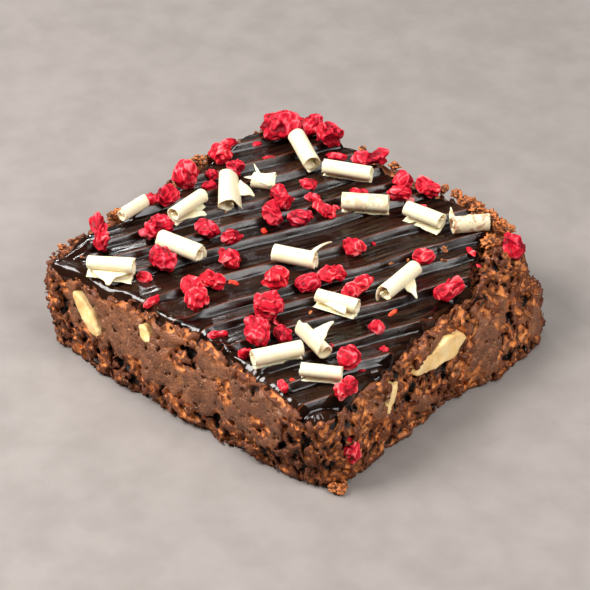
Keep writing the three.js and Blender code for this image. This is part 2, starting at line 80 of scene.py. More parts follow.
# The spread of icing: its thickness, its strokes, where their crests are, and its mesh
ICING_THICK = 1.9
ICING_LIFT = 0.45
ICING_SINK = 0.9
STROKE_TURN = math.radians(66)
STROKE_HEIGHT = 1.0
STROKE_DROP = 1.3
CRESTS = np.array([-47, -38, -31, -23, -16, -9, 1.5, 11, 17, 25, 34.5, 42, 49, 60.0])
ROW_STEP = 0.3
STROKE_COLUMNS = 120

# The curls and their shards: the thickness of the sheet, how low they sink in, and the mesh
CURL_WALL = 0.55
CURL_SINK = 0.3
CURL_ROWS = 26
CURL_STEPS = 64
SHARD_WALL = 0.42
SHARD_STEPS = 16

# The pieces of raspberry and the chunks: how low the pieces sink in, and the mesh
BERRY_SINK = 0.25
BERRY_LEVEL = 5
CHUNK_VOXEL = 0.26

# Height of the lower edge of the smooth fudge along the front side
FUDGE_BORDER = ((-37, -33, -21, -9, 0, 4, 12, 20, 30, 36), (24, 12, 8.5, 7, 6, 4.5, 6, 7, 9.6, 24))

# Places in the cut sides, with a radius: crumb within the fudge of the front side, and fudge within the
# crumb of the right side
FRONT_CRUMB = [
    (1.5, 17, 3.6), (13, 14.5, 3.6), (-13.5, 9, 2.6), (24.5, 12, 3.0), (-26, 13, 2.6), (33, 16, 3.4),
]
RIGHT_FUDGE = [
    (12.5, 9.5, 6.0), (30, 6, 4.2), (-2, 19.5, 4.0), (-10, 7.5, 2.6), (21, 16, 2.6), (-24, 15, 2.8),
]

# Edge of the icing, anticlockwise from the front left corner
ICING_EDGE = [
    (-41, -40), (-34, -39.5), (-25, -40), (-17, -38.5), (-7, -39), (2, -38), (9, -39.5), (18, -41),
    (27, -42), (36, -43), (40, -41), (39.5, -32), (39.5, -20), (38, -8), (36.5, 4), (37, 13), (32, 22),
    (28, 30), (25, 36), (20, 38), (12, 38.5), (4, 37.5), (-7, 38), (-20, 41), (-30, 41), (-39, 39.5),
    (-42, 30), (-43.5, 18), (-42, 5), (-41.5, -8), (-42.5, -20), (-42, -31),
]

# White chocolate curls: length, radius at the two ends, turn and tilt in degrees, rolled turns, the place
# where the outer edge ends, how far that edge stands off, and how ragged the two ends are
CURLS = [
    (11.1, 2.1, 2.6, 32, 0, 1.2, 215, 1.6, 0.2, 0.6), (11.7, 2.5, 2.6, 7, 0, 1.3, 300, 0.3, 0.3, 0.7),
    (10.6, 2.2, 2.3, 91, 0, 1.3, 250, 0.8, 0.3, 0.3), (10.8, 2.1, 2.7, -47, 12, 1.15, 330, 1.5, 0.2, 0.5),
    (6.5, 2.1, 2.1, 30, 0, 0.45, 60, 0, 0.6, 0.6), (10.8, 2.6, 2.6, -28, 10, 1.2, 250, 0.2, 0.3, 0.2),
    (12.4, 2.3, 2.3, 24, 0, 1.25, 260, 0.3, 0.5, 0.5), (11.2, 2.6, 2.6, 34, 0, 1.2, 250, 0.2, 0.2, 0.3),
    (10, 2.4, 2.5, 5, 0, 1.4, 230, 0.8, 0.3, 0.3), (9, 2.5, 2.5, 54, 3, 1.3, 100, 0.4, 0.4, 0.3),
    (10.4, 2.5, 2.5, 22, 0, 1.3, 280, 0.2, 0.2, 0.5), (10.3, 2.2, 2.4, 15, 0, 1.2, 200, 0.8, 0.3, 0.5),
    (12.6, 2.3, 2.3, 94, 0, 1.15, 300, 1.2, 0.4, 0.3), (10.2, 2.1, 2.2, -19, 0, 1.2, 100, 0.9, 0.3, 0.3),
    (11.6, 2.4, 2.3, 60, 0, 1.25, 260, 0.4, 0.4, 0.4), (9.6, 2.1, 2.1, 31, 0, 1.2, 240, 0.4, 0.5, 0.3),
    (8, 1.9, 1.9, 88, 0, 1.3, 80, 0.3, 0.3, 0.3),
]

# Larger pieces of raspberry: length, width, height and turn in degrees, in the order of their nodes
BERRIES = [
    (12.5, 5.2, 5.2, 137), (5.8, 5.2, 5.2, 20), (6, 5.6, 7.2, 70), (5.2, 4.8, 5.2, 30), (4.2, 3.8, 3.9, 0),
    (7.8, 6, 5.4, 75), (7, 5, 4.8, -15), (6.2, 4.4, 3.6, 10), (5.4, 4.3, 3.6, 40), (6.6, 4.6, 4, -10),
    (10.5, 6.4, 5.4, -32), (5.6, 4.6, 3.9, 20), (9.4, 6, 4.8, -44), (6.8, 6.2, 5.2, 60), (4.2, 3.6, 3.4, 10),
    (6.3, 4.9, 4.5, 50), (5.2, 4.2, 4, 50), (6.4, 5, 4.4, 55), (5.6, 4.6, 4.2, 20), (9, 5, 4.8, 85),
    (5.2, 4, 3.5, 40), (8.4, 5.2, 4.8, 88), (5.2, 4.8, 5.4, 20), (6, 4.2, 4.2, 95), (7.8, 4.4, 4.8, -35),
    (8.2, 4.8, 5, -34), (5.6, 3.9, 3.4, 45), (7.4, 3.8, 3.4, -10), (9.4, 7.6, 6.8, 40), (6, 4.8, 4.8, 80),
    (7, 5.6, 5.4, 0), (8.8, 5.2, 4.4, 60), (5.4, 4.5, 4.5, 0), (7.4, 4.6, 4.6, -6), (5.4, 3.5, 3.3, 35),
]

# Pieces of raspberry with a form of their own: fold, pinch, twist in degrees, and tone from dark to light
BERRY_FORMS = {
    1: (0, 1.0, 150, 0.45), 6: (0.3, 0, 0, 0.15), 7: (0.5, 0, 0, 0.1), 11: (0, 0.3, 60, 0.75),
    12: (0, 0.5, 0, 0.8), 14: (0.3, 0, 0, 0.5), 18: (0, 0.7, 0, 0.6), 24: (0, 0.7, 0, 0.6),
    25: (0.6, 0, 0, 0.3), 3: (0, 0.2, 0, 0.35), 20: (0, 0.4, 40, 0.7), 22: (0, 0.3, 0, 0.45),
    29: (0, 0.2, 0, 0.2), 30: (0.3, 0, 0, 0.2), 31: (0.2, 0, 0, 0.3),
}

# Flakes of raspberry fused to the icing: place, length, width, height, turn in degrees, and tone
FLAKES = [
    (-40, -7.6, 3.4, 3, 3.2, 0, 0.4), (-33.5, 5.6, 4, 2.8, 2.8, 30, 0.4),
    (-36.6, 9.6, 3.6, 2.6, 2.4, 10, 0.5), (-42, 21.5, 4.6, 2.6, 2.4, 60, 0.4),
    (-20.3, -30.5, 3.6, 2.8, 2.4, 20, 0.5), (-13, -36, 5.4, 2.2, 2, 98, 0.7),
    (6, -35.5, 4.6, 2.2, 1.8, 49, 0.6), (15.5, -37.6, 3.4, 2.8, 3.4, 100, 0.6),
    (31.3, -12.5, 3.4, 3, 3.2, 60, 0.4), (-16.2, 20.7, 4.2, 3, 2.6, 30, 0.4),
    (-12, 17.6, 3.8, 2.4, 2.2, 10, 0.3), (-5.5, 26.3, 4.4, 1.8, 2, 32, 0.5),
    (-18.6, 34, 5.4, 2.6, 2.4, 25, 0.3), (29, 24, 3.4, 1.6, 1.6, -20, 0.9),
    (28.5, -40, 4, 2.2, 2.2, -30, 0.5), (-12, 0.4, 1.8, 1.6, 1.4, 0, 2.0),
    (-4.2, -18.8, 2.8, 1.6, 1.4, 20, 2.0), (36.8, -16.4, 2.2, 1.8, 1.4, 0, 0.5),
    (-31, 24, 3.4, 1.4, 1, 50, 0.6), (-38, 27.5, 2.6, 1.8, 1.4, 50, 0.4),
    (-42.1, -10.6, 2.0, 1.4, 1.2, 20, 0.4), (-16.6, 15.0, 1.8, 1.2, 1.0, 70, 0.5),
    (-6.1, 19.1, 2.2, 1.5, 1.2, 0, 0.6), (-38.2, 37.9, 2.6, 1.8, 1.6, 30, 0.4),
    (-34.9, 40.2, 2.2, 1.6, 1.5, 0, 0.3), (-23.7, 39.4, 2.6, 1.8, 1.6, 60, 0.4),
    (9.2, 32.2, 2.0, 1.5, 1.2, 10, 0.5), (5.4, 32.0, 2.4, 2.0, 1.8, 80, 1.4),
    (37.2, -24.2, 1.8, 1.2, 1.0, 40, 0.5), (29.6, -4.6, 3.0, 1.3, 1.2, 95, 2.0),
    (28.3, -36.8, 1.6, 1.2, 1.0, 0, 2.0), (-5.2, -3.5, 1.2, 0.9, 0.8, 0, 0.5),
    (27.3, -22.6, 1.2, 1.0, 0.8, 0, 0.5), (9.4, 13.6, 1.3, 0.9, 0.8, 0, 0.6),
    (33.0, 22.0, 1.4, 1.0, 0.8, 0, 0.5), (12.6, -24.2, 2.2, 1.4, 1.4, 0, 0.5),
    (-28.6, -2.2, 1.4, 1.0, 0.8, 0, 0.5),
]

# Pieces of raspberry fused to the cake: form, seed, fold, pinch, place and height, and tone
CAKE_BERRIES = {
    "raspberry_low": ((3.6, 4.6, 5.4, 0), 91, 0, 0.2, (42.8, -34.4, 9), 0.55),
    "raspberry_corner": ((5.0, 6.4, 6.0, 100), 92, 0.2, 0.4, (33.6, 34.4, 21.2), 0.2),
}

# Thin shards that stand off some curls: the curl's number, two corners of the root and the tip, each as a
# place and a height
SHARDS = [
    (3, (-28.6, -11.2, 24.2), (-28.4, -4.6, 24.4), (-25.6, -4.4, 23.8)),
    (4, (-26.6, 8.5, 26.6), (-24.6, 4.6, 25.0), (-22.0, 8.4, 24.2)),
    (5, (-28.4, 11.8, 25.0), (-22.6, 16.6, 26.4), (-21.9, 13.6, 24.3)),
    (5, (-26.7, 14.9, 23.6), (-25.7, 15.7, 23.8), (-29.7, 16.9, 25.6)),
    (11, (4.0, -2.6, 26.2), (5.0, -2.0, 26.2), (5.1, 3.9, 26.0)),
    (12, (18.4, -14.6, 25.2), (24.0, -14.2, 24.8), (22.0, -11.0, 26.2)),
    (13, (26.8, 1.8, 25.0), (26.9, 5.9, 25.6), (31.4, 1.6, 24.0)),
    (14, (23.4, -24.2, 26.0), (27.0, -25.2, 25.4), (25.4, -19.8, 26.8)),
    (10, (19.4, 28.4, 25.2), (20.6, 29.6, 25.2), (17.0, 31.9, 26.2)),
    (1, (-30.6, -37.6, 24.6), (-22.4, -33.8, 25.0), (-24.0, -38.6, 23.6)),
]

# Loose crumbs of cake: place, height of the middle and size
CRUMBS = [
    (-44.3, -32.5, 21.3, 1.9), (-44.6, -29.2, 21.0, 1.5), (-43.4, -17.5, 22.6, 2.3),
    (-43.6, -14.6, 22.3, 1.7), (-43.6, 12.5, 23.0, 2.6), (-42.8, 14.9, 22.8, 1.6), (-16.6, 41.4, 23.2, 1.8),
    (-6.2, 40.6, 23.2, 2.0), (8.5, 40.6, 23.0, 2.4), (12.5, 40.2, 23.4, 2.6), (16.6, 39.4, 23.2, 3.6),
    (19.8, 38.6, 23.4, 3.2), (23.7, 39.2, 22.4, 3.4), (28.6, 38.2, 21.6, 3.0), (30.0, 30.0, 23.4, 3.6),
    (26.2, 38.9, 21.9, 3.2), (31.6, 36.4, 21.4, 2.8), (21.6, 38.9, 22.6, 2.6), (14.6, 39.9, 22.6, 2.8),
    (42.0, -38.6, 1.2, 2.6), (43.3, -38.3, 0.9, 1.8), (42.6, -36.8, 1.3, 2.2), (-35.9, -34.5, 23.4, 0.9),
    (18.4, 8.9, 23.4, 0.9), (20.4, 12.2, 23.4, 0.7), (-28.7, -8.5, 23.4, 0.8), (-23.3, -0.1, 23.4, 0.7),
    (16.5, -17.1, 23.4, 0.9), (24.0, 21.0, 23.4, 1.4), (26.5, 17.6, 23.2, 1.1),
]

# How much brown crumb is smeared on a curl
CURL_SMEARS = {10: 0.6, 8: 0.35}


# Repeatable noise
LATTICE_SIZE = 64
LATTICE = np.random.default_rng(11).random((LATTICE_SIZE,) * 3, dtype=np.float32)
SKEW = np.array(Matrix.Rotation(0.7, 3, "X") @ Matrix.Rotation(1.1, 3, "Z"), dtype=np.float32)


def lattice_at(x, y, z):
    """The random value kept for whole-number places."""
    last = LATTICE_SIZE - 1
    return LATTICE[x & last, y & last, z & last]


def soft_noise(points, size, seed=0):
    """Smooth lumpy noise from -1 to 1, with lumps of about the size given."""
    spots = (points @ SKEW) / np.float32(size) + np.float32(seed * 7.31 + 0.5)
    base = np.floor(spots)
    part = spots - base
    part = part * part * (3 - 2 * part)
    base = base.astype(np.int32)
    total = np.zeros(len(points), np.float32)
    for corner in range(8):
        step = (corner & 1, (corner >> 1) & 1, corner >> 2)
        weight = np.ones(len(points), np.float32)
        for axis in range(3):
            weight *= part[:, axis] if step[axis] else 1 - part[:, axis]
        total += weight * lattice_at(*(base[:, axis] + step[axis] for axis in range(3)))
    return 2 * total - 1


def layered_noise(points, size, seed=0, layers=3):
    """Noise with finer and fainter layers on top."""
    total = np.zeros(len(points), np.float32)
    for layer in range(layers):
        total += soft_noise(points, size / 2 ** layer, seed + 3 * layer) * 0.55 ** layer
    return total


def round_holes(points, size, seed, chance, least, most):
    """The distance to the nearest round hole, less than nothing inside it. A share of the cells of the size
    given has a hole, with a radius in the range given."""
    spots = points / np.float32(size)
    base = np.floor(spots).astype(np.int32)
    hole = np.full(len(points), 9, np.float32)
    for corner in range(27):
        cell = base + np.array([corner % 3 - 1, corner // 3 % 3 - 1, corner // 9 - 1], np.int32)
        key = (cell[:, 0] + 19 * seed, cell[:, 1] + 7 * seed, cell[:, 2] + 3 * seed)
        away = np.zeros(len(points), np.float32)
        for axis in range(3):
            shift = lattice_at(key[axis], key[axis - 1], key[axis - 2] + 5 * axis)
            away += (spots[:, axis] - (cell[:, axis] + 0.15 + 0.7 * shift)) ** 2
        chosen = lattice_at(key[1] + 9, key[2] + 4, key[0] + 2)
        radius = np.where(chosen < chance, least + (most - least) * chosen / chance, -9)
        hole = np.minimum(hole, np.sqrt(away) * size - radius)
    return hole


def in_parts(work, *arrays, size=40000):
    """Runs work on parts of the arrays side by side, and joins what it gives."""
    spans = [slice(start, start + size) for start in range(0, len(arrays[0]), size)]
    with ThreadPoolExecutor(4) as pool:
        parts = list(pool.map(lambda span: work(*(array[span] for array in arrays)), spans))
    return np.concatenate(parts)


def smooth_step(value, low, high):
    """0 under the low value, 1 over the high one, smooth between."""
    share = np.clip((value - low) / (high - low), 0, 1)
    return share * share * (3 - 2 * share)


def hump(value, middle, reach):
    """1 at the middle value, and down to a third at the reach to either side."""
    return np.exp(-(((value - middle) / reach) ** 2))


# Outlines on the table
def smooth_loop(corners, steps=10):
    """A closed centripetal curve through outline points."""
    spots = np.array(corners, float)
    before, after, beyond = np.roll(spots, 1, 0), np.roll(spots, -1, 0), np.roll(spots, -2, 0)

    def stretch(one, two):
        return np.sqrt(np.linalg.norm(two - one, axis=1))[:, None]

    gap0, gap1, gap2 = stretch(before, spots), stretch(spots, after), stretch(after, beyond)
    leave = gap1 * ((spots - before) / gap0 - (after - before) / (gap0 + gap1) + (after - spots) / gap1)
    arrive = gap1 * ((after - spots) / gap1 - (beyond - spots) / (gap1 + gap2) + (beyond - after) / gap2)
    rows = []
    for step in range(steps):
        t = step / steps
        bend = -3 * spots + 3 * after - 2 * leave - arrive
        twist = 2 * spots - 2 * after + leave + arrive
        rows.append(spots + leave * t + bend * t ** 2 + twist * t ** 3)
    return np.stack(rows, 1).reshape(-1, 2)


def inside_depth(places, outline):
    """How far places lie inside an outline, and less than nothing outside it."""
    nearest = np.full(len(places), 1e9)
    crossings = np.zeros(len(places), int)
    for one, two in zip(outline, np.roll(outline, -1, 0)):
        edge = two - one
        share = np.clip(((places - one) @ edge) / (edge @ edge), 0, 1)
        nearest = np.minimum(nearest, ((places - one - share[:, None] * edge) ** 2).sum(1))
        straddles = (one[1] > places[:, 1]) != (two[1] > places[:, 1])
        climb = edge[1] if abs(edge[1]) > 1e-12 else 1e-12
        cross = one[0] + (places[:, 1] - one[1]) * edge[0] / climb
        crossings += straddles & (places[:, 0] < cross)
    return np.where(crossings % 2 == 1, 1, -1) * np.sqrt(nearest)


ICING_LOOP = smooth_loop(ICING_EDGE) + SHIFT[:2]


def cake_level(x, y):
    """Height of the cake's top under the icing, lower at the front corner."""
    away = np.hypot(x - SHIFT[0] - FRONT_CORNER[0], y - SHIFT[1] - FRONT_CORNER[1])
    return CAKE_TOP - CORNER_DROOP * np.exp(-((away / DROOP_REACH) ** 2))


# Meshes
def add_piece(name, points, faces, finish, replaced=(), values=None):
    """A piece from points in millimetres, riding on the one body, with its finish and its values a point."""
    mesh = bpy.data.meshes.new(name)
    mesh.from_pydata((np.asarray(points, float) * MM).tolist(), [], faces)
    mesh.polygons.foreach_set("use_smooth", np.ones(len(mesh.polygons), bool))
    mesh.materials.append(finish)
    for key, numbers in (values or {}).items():
        store = mesh.attributes.new(key, "FLOAT", "POINT")
        store.data.foreach_set("value", np.asarray(numbers, np.float32))
    mesh.update()
    piece = bpy.data.objects.new(name, mesh)
    bpy.context.scene.collection.objects.link(piece)
    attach(piece, "root")
    if replaced:
        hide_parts(*replaced)


def faces_of(triangles, quads):
    """One list of faces."""
    return [list(map(int, face)) for face in triangles] + [list(map(int, face)) for face in quads]


def quads_of(grid):
    """Four-sided faces of a grid of point numbers."""
    return np.stack([grid[:-1, :-1], grid[1:, :-1], grid[1:, 1:], grid[:-1, 1:]], -1).reshape(-1, 4)


def shell_faces(rows, steps):
    """Faces of a closed shell: a sheet of rows of points and the one behind it, joined round their edge."""
    front = np.arange(rows * steps).reshape(rows, steps)
    back = front + rows * steps
    faces = [quads_of(front), quads_of(back)[:, [0, 3, 2, 1]]]
    for side in range(4):
        one, two = np.rot90(front, side)[0], np.rot90(back, side)[0]
        faces.append(np.stack([one[:-1], one[1:], two[1:], two[:-1]], -1))
    return np.concatenate(faces)


def bulge_of(points, faces, rounds=2):
    """How far each point stands out from its neighbours, on average over a few rounds of spreading."""
    mesh = bpy.data.meshes.new("measure")
    mesh.from_pydata(np.asarray(points, float).tolist(), [], faces)
    edges = np.zeros(len(mesh.edges) * 2, np.int32)
    mesh.edges.foreach_get("vertices", edges)
    normals = np.zeros(len(mesh.vertices) * 3, np.float32)
    mesh.vertex_normals.foreach_get("vector", normals)
    bpy.data.meshes.remove(mesh)
    one, two = edges.reshape(-1, 2).T
    count = len(points)
    number = np.maximum(np.bincount(one, minlength=count) + np.bincount(two, minlength=count), 1)

    def spread(numbers):
        total = np.bincount(one, numbers[two], count) + np.bincount(two, numbers[one], count)
        return total / number

    away = np.stack([points[:, axis] - spread(points[:, axis]) for axis in range(3)], 1)
    bulge = (away * normals.reshape(-1, 3)).sum(1)
    for _ in range(rounds):
        bulge = 0.5 * bulge + 0.5 * spread(bulge)
    return bulge


def node_mesh(node):
    """Points in millimetres and triangles of a node, with its shared points merged."""
    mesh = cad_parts[node].data
    mesh.calc_loop_triangles()
    points = np.zeros(len(mesh.vertices) * 3, np.float32)
    mesh.vertices.foreach_get("co", points)
    triangles = np.zeros(len(mesh.loop_triangles) * 3, np.int32)
    mesh.loop_triangles.foreach_get("vertices", triangles)
    merged, place = np.unique(np.round(points.reshape(-1, 3) / MM, 3), axis=0, return_inverse=True)
    return merged.astype(np.float32), place.reshape(-1)[triangles].reshape(-1, 3).astype(np.uint32)


def box_of(node):
    """Lowest and highest corner of a node in millimetres."""
    low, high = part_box(node)
    return np.array(low) / MM, np.array(high) / MM


class Field:
    """Signed distances round a closed mesh on a regular grid, less than nothing inside."""

    def __init__(self, points, triangles, voxel, band):
        self.voxel = voxel
        self.rule = openvdb.createLinearTransform(voxelSize=voxel)
        grid = openvdb.FloatGrid.createLevelSetFromPolygons(
            points, triangles=triangles, transform=self.rule, halfWidth=float(band))
        low, high = grid.evalActiveVoxelBoundingBox()
        self.low = low
        self.far = grid.background
        self.values = np.full([top - base + 1 for base, top in zip(low, high)], self.far, np.float32)
        grid.copyToArray(self.values, ijk=low)

    def places(self, cells):
        """Points of the cells given by index."""
        return (cells + np.array(self.low)).astype(np.float32) * np.float32(self.voxel)

    def at(self, points, values):
        """Which of the values, one for each cell, are nearest to points."""
        cells = np.round(points / self.voxel).astype(int) - np.array(self.low)
        cells = np.clip(cells, 0, np.array(values.shape) - 1)
        return values[cells[:, 0], cells[:, 1], cells[:, 2]]

    def surface(self, adaptivity):
        """Points, triangles and quads of the surface."""
        grid = openvdb.FloatGrid(self.far)
        grid.transform = self.rule
        grid.copyFromArray(self.values, ijk=self.low)
        points, triangles, quads = grid.convertToPolygons(isovalue=0.0, adaptivity=adaptivity)
        return points, triangles[:, ::-1], quads[:, ::-1]


def thinned(points, triangles, quads, most):
    """Points and faces of a surface brought down to a number of triangles, first where it is flat."""
    mesh = bpy.data.meshes.new("dense")
    mesh.from_pydata(points.tolist(), [], faces_of(triangles, quads))
    dense = bpy.data.objects.new("dense", mesh)
    bpy.context.scene.collection.objects.link(dense)
    ease = dense.modifiers.new("thin", "DECIMATE")
    ease.ratio = min(1.0, most / (len(triangles) + 2 * len(quads)))
    ease.use_collapse_triangulate = True
    thin = bpy.data.meshes.new_from_object(dense.evaluated_get(bpy.context.evaluated_depsgraph_get()))
    places = np.zeros(len(thin.vertices) * 3, np.float32)
    thin.vertices.foreach_get("co", places)
    corners = np.zeros(len(thin.loops), np.int32)
    thin.loops.foreach_get("vertex_index", corners)
    bpy.data.objects.remove(dense)
    bpy.data.meshes.remove(mesh)
    bpy.data.meshes.remove(thin)
    return places.reshape(-1, 3), corners.reshape(-1, 3).tolist()


def main_body(points, triangles, quads):
    """A surface without the loose bits that hang beside its largest body."""
    corners = np.concatenate([faces.ravel() for faces in (triangles, quads)]).astype(np.int64)
    onward = np.concatenate([np.roll(faces, -1, 1).ravel() for faces in (triangles, quads)]).astype(np.int64)
    label = np.arange(len(points))
    while True:
        least = np.minimum(label[corners], label[onward])
        fresh = label.copy()
        np.minimum.at(fresh, corners, least)
        np.minimum.at(fresh, onward, least)
        fresh = fresh[fresh]
        if np.array_equal(fresh, label):
            break
        label = fresh
    kept = label == np.bincount(label).argmax()
    place = np.cumsum(kept) - 1
    triangles, quads = triangles[kept[triangles[:, 0]]], quads[kept[quads[:, 0]]]
    return points[kept], place[triangles], place[quads]


# The cake
def fudge_share(points):
    """Where the cut side is smooth fudge, near 1, and where it is open crumb, near 0."""
    x, y, z = points.T
    uneven = layered_noise(points, 7.0, 21, 2)
    border = np.interp(x, FUDGE_BORDER[0], FUDGE_BORDER[1])
    on_front = smooth_step(-y, 33, 38)
    on_right = smooth_step(x, 33, 38) * (1 - on_front)
    broken = layered_noise(points, 2.2, 22, 2)
    front = np.minimum(z - border, 4.0) + 2.0 * uneven + 2.2 * broken
    for centre, height, reach in FRONT_CRUMB:
        front -= 8.0 * np.exp(-(((x - centre) ** 2 + (z - height) ** 2) / reach ** 2))
    right = 1.5 * uneven + 2.4 * broken - 2.2
    for centre, height, reach in RIGHT_FUDGE:
        right += 5.5 * np.exp(-(((y - centre) ** 2 + (z - height) ** 2) / reach ** 2))
    other = 5.0 * uneven - 1.5 + 3.0 * smooth_step(z, 9, 15)
    bias = on_front * front + on_right * right + (1 - on_front - on_right) * other
    return smooth_step(bias, -0.7, 0.7) * smooth_step(-z, -21.5, -19.5)


def stretched(points, way, much):
    """Points squeezed along a direction, so that what is built on them runs long that way."""
    way = np.array(way, np.float32) / np.linalg.norm(way)
    return points - np.outer(points @ way, way * np.float32(1 - 1 / much))


def crumb_relief(points, distance):
    """The distance to the torn and open surface, from the distance to the plain one."""
    fudge = fudge_share(points)
    open_share = 1 - fudge
    warp = np.stack([soft_noise(points, 1.3, seed) for seed in (31, 32, 33)], 1)
    loose = points + 0.45 * warp
    on_right = smooth_step(points[:, 0], 36, 40)[:, None]
    torn_right = stretched(loose, (0, 0.6, 0.8), 1.7)
    torn_front = stretched(loose, (0.6, 0, -0.8), 1.5)
    torn = on_right * torn_right + (1 - on_right) * torn_front
    relief = distance - 0.4 * layered_noise(points, 6.0, 41, 2) * (0.3 + 0.7 * open_share)
    shreds = 1.3 * np.abs(soft_noise(torn, 1.5, 44)) + 0.8 * np.abs(soft_noise(torn, 0.8, 46))
    relief += open_share * (shreds - 0.55)
    relief += fudge * (0.06 * np.abs(soft_noise(torn, 0.9, 45)) - 0.02)
    holes = round_holes(torn, 4.2, 5, 0.4, 0.8, 1.7)
    relief = np.maximum(relief, -holes - 2.2 * fudge)
    pits = 2.6 * (layered_noise(torn, 1.2, 47, 2) - 0.1) - 1.5 * fudge
    relief = np.maximum(relief, np.minimum(pits, distance + 2.2))
    pores = 0.9 * (layered_noise(loose, 0.8, 53, 1) - 0.33) - 0.16 * fudge
    relief = np.maximum(relief, np.minimum(pores, distance + 1.2))
    beyond = np.abs(points[:, :2]) - np.array(CAD_BOX[1][:2], np.float32) / MM + 0.1
    return np.maximum(relief, np.maximum(beyond.max(1), 0.02 - points[:, 2]))


def cut_sides(places):
    """Where the front and left sides are, whose rims stand up round the icing."""
    return np.maximum(smooth_step(-places[:, 1], 32, 36) * smooth_step(-places[:, 0], -39, -33),
                      smooth_step(-places[:, 0], 34, 38) * smooth_step(-places[:, 1], -38, -30))


def drawn_up(field, rise):
    """The values of a field with its columns drawn up at their top by a height for each."""
    rows = np.arange(field.values.shape[2])
    share = smooth_step((rows + field.low[2]) * field.voxel, 8, 15)
    source = rows - (rise / field.voxel)[:, :, None] * share
    row = np.clip(np.floor(source).astype(int), 0, len(rows) - 2)
    part = (source - row).astype(np.float32)
    below = np.take_along_axis(field.values, row, 2)
    return below * (1 - part) + np.take_along_axis(field.values, row + 1, 2) * part


def build_cake(finish):
    """The block of cake with crumb, pores and smooth fudge at its cut sides."""
    points, triangles = node_mesh("brownie_cake")
    field = Field(points, triangles, CRUMB_VOXEL, CRUMB_BAND)
    shape = field.values.shape
    columns = np.argwhere(np.ones(shape[:2], bool))
    places = (columns + np.array(field.low[:2])) * CRUMB_VOXEL
    depth_in = inside_depth(places, ICING_LOOP).reshape(shape[0], shape[1])
    rise = RIM_RISE * cut_sides(places).reshape(shape[0], shape[1]) * smooth_step(-depth_in, -2.4, -0.8)
    field.values = drawn_up(field, rise)
    plain = field.values.copy()
    live = (plain > -CRUMB_DEPTH) & (plain < 1.0) & (depth_in < 3.2)[:, :, None]
    spots = field.places(np.argwhere(live))
    distance = plain[live]
    relief = in_parts(crumb_relief, spots, distance)
    calm = smooth_step(spots[:, 2], 0.0, 0.7)
    field.values[live] = distance + (relief - distance) * calm
    floor_row = int(round(-field.low[2])) + 1
    field.values[:, :, :floor_row] = np.maximum(field.values[:, :, :floor_row], 0.02)
    points, faces = thinned(*main_body(*field.surface(0.02)), CAKE_TRIANGLES)
    # The depth below the plain surface paints shade in the pores, and the bulge paints highlights on the
    # edges and shade in the creases.
    values = {
        "pore_shade": np.clip(-field.at(points, plain), -1, 3),
        "fudge": in_parts(fudge_share, points),
        "bulge": bulge_of(points, faces) / CRUMB_VOXEL,
    }
    points[:, 2] = np.maximum(points[:, 2], 0.0)
    add_piece("cake_crumb", points, faces, finish, ["brownie_cake"], values)


# The icing
def outward_of(loop):
    """Outward directions of a closed anticlockwise loop."""
    run = np.roll(loop, -1, 0) - np.roll(loop, 1, 0)
    out = np.stack([run[:, 1], -run[:, 0]], 1)
    return out / np.linalg.norm(out, axis=1)[:, None]


def flat(places):
    """Places on the table as points."""
    return np.column_stack([places, np.zeros(len(places))]).astype(np.float32)


def ragged_rim():
    """The icing's outline, a little wider than that of the solid and uneven, most on the right side."""
    x, y = ICING_LOOP.T
    on_right = smooth_step(x, 28, 36)
    on_front = smooth_step(-y, 33, 37)
    on_left = smooth_step(-x, 36, 40) * smooth_step(y, -28, -18)
    places = flat(ICING_LOOP)
    uneven = 0.35 * soft_noise(places, 6.0, 3) + 0.25 * soft_noise(places, 1.8, 4)
    shreds = 0.9 * soft_noise(places, 2.4, 5) + 0.5 * soft_noise(places, 1.2, 6)
    reach = 0.5 - 0.6 * on_front - 1.6 * on_left + uneven * (1 - 0.5 * on_front)
    reach = reach + (on_right + 0.6 * on_left) * shreds
    return ICING_LOOP + outward_of(ICING_LOOP) * reach[:, None]


def stroke_height(across):
    """Height of the combing strokes, the way since the last crest, and the way to the next one."""
    place = np.clip(np.searchsorted(CRESTS, across, side="right") - 1, 0, len(CRESTS) - 2)
    start, end = CRESTS[place], CRESTS[place + 1]
    since = across - start
    climb = np.clip((since - STROKE_DROP) / (end - start - STROKE_DROP), 0, 1)
    height = np.where(since < STROKE_DROP, 0.5 - since / STROKE_DROP, climb ** 1.6 - 0.5)
    return STROKE_HEIGHT * height, since, end - across


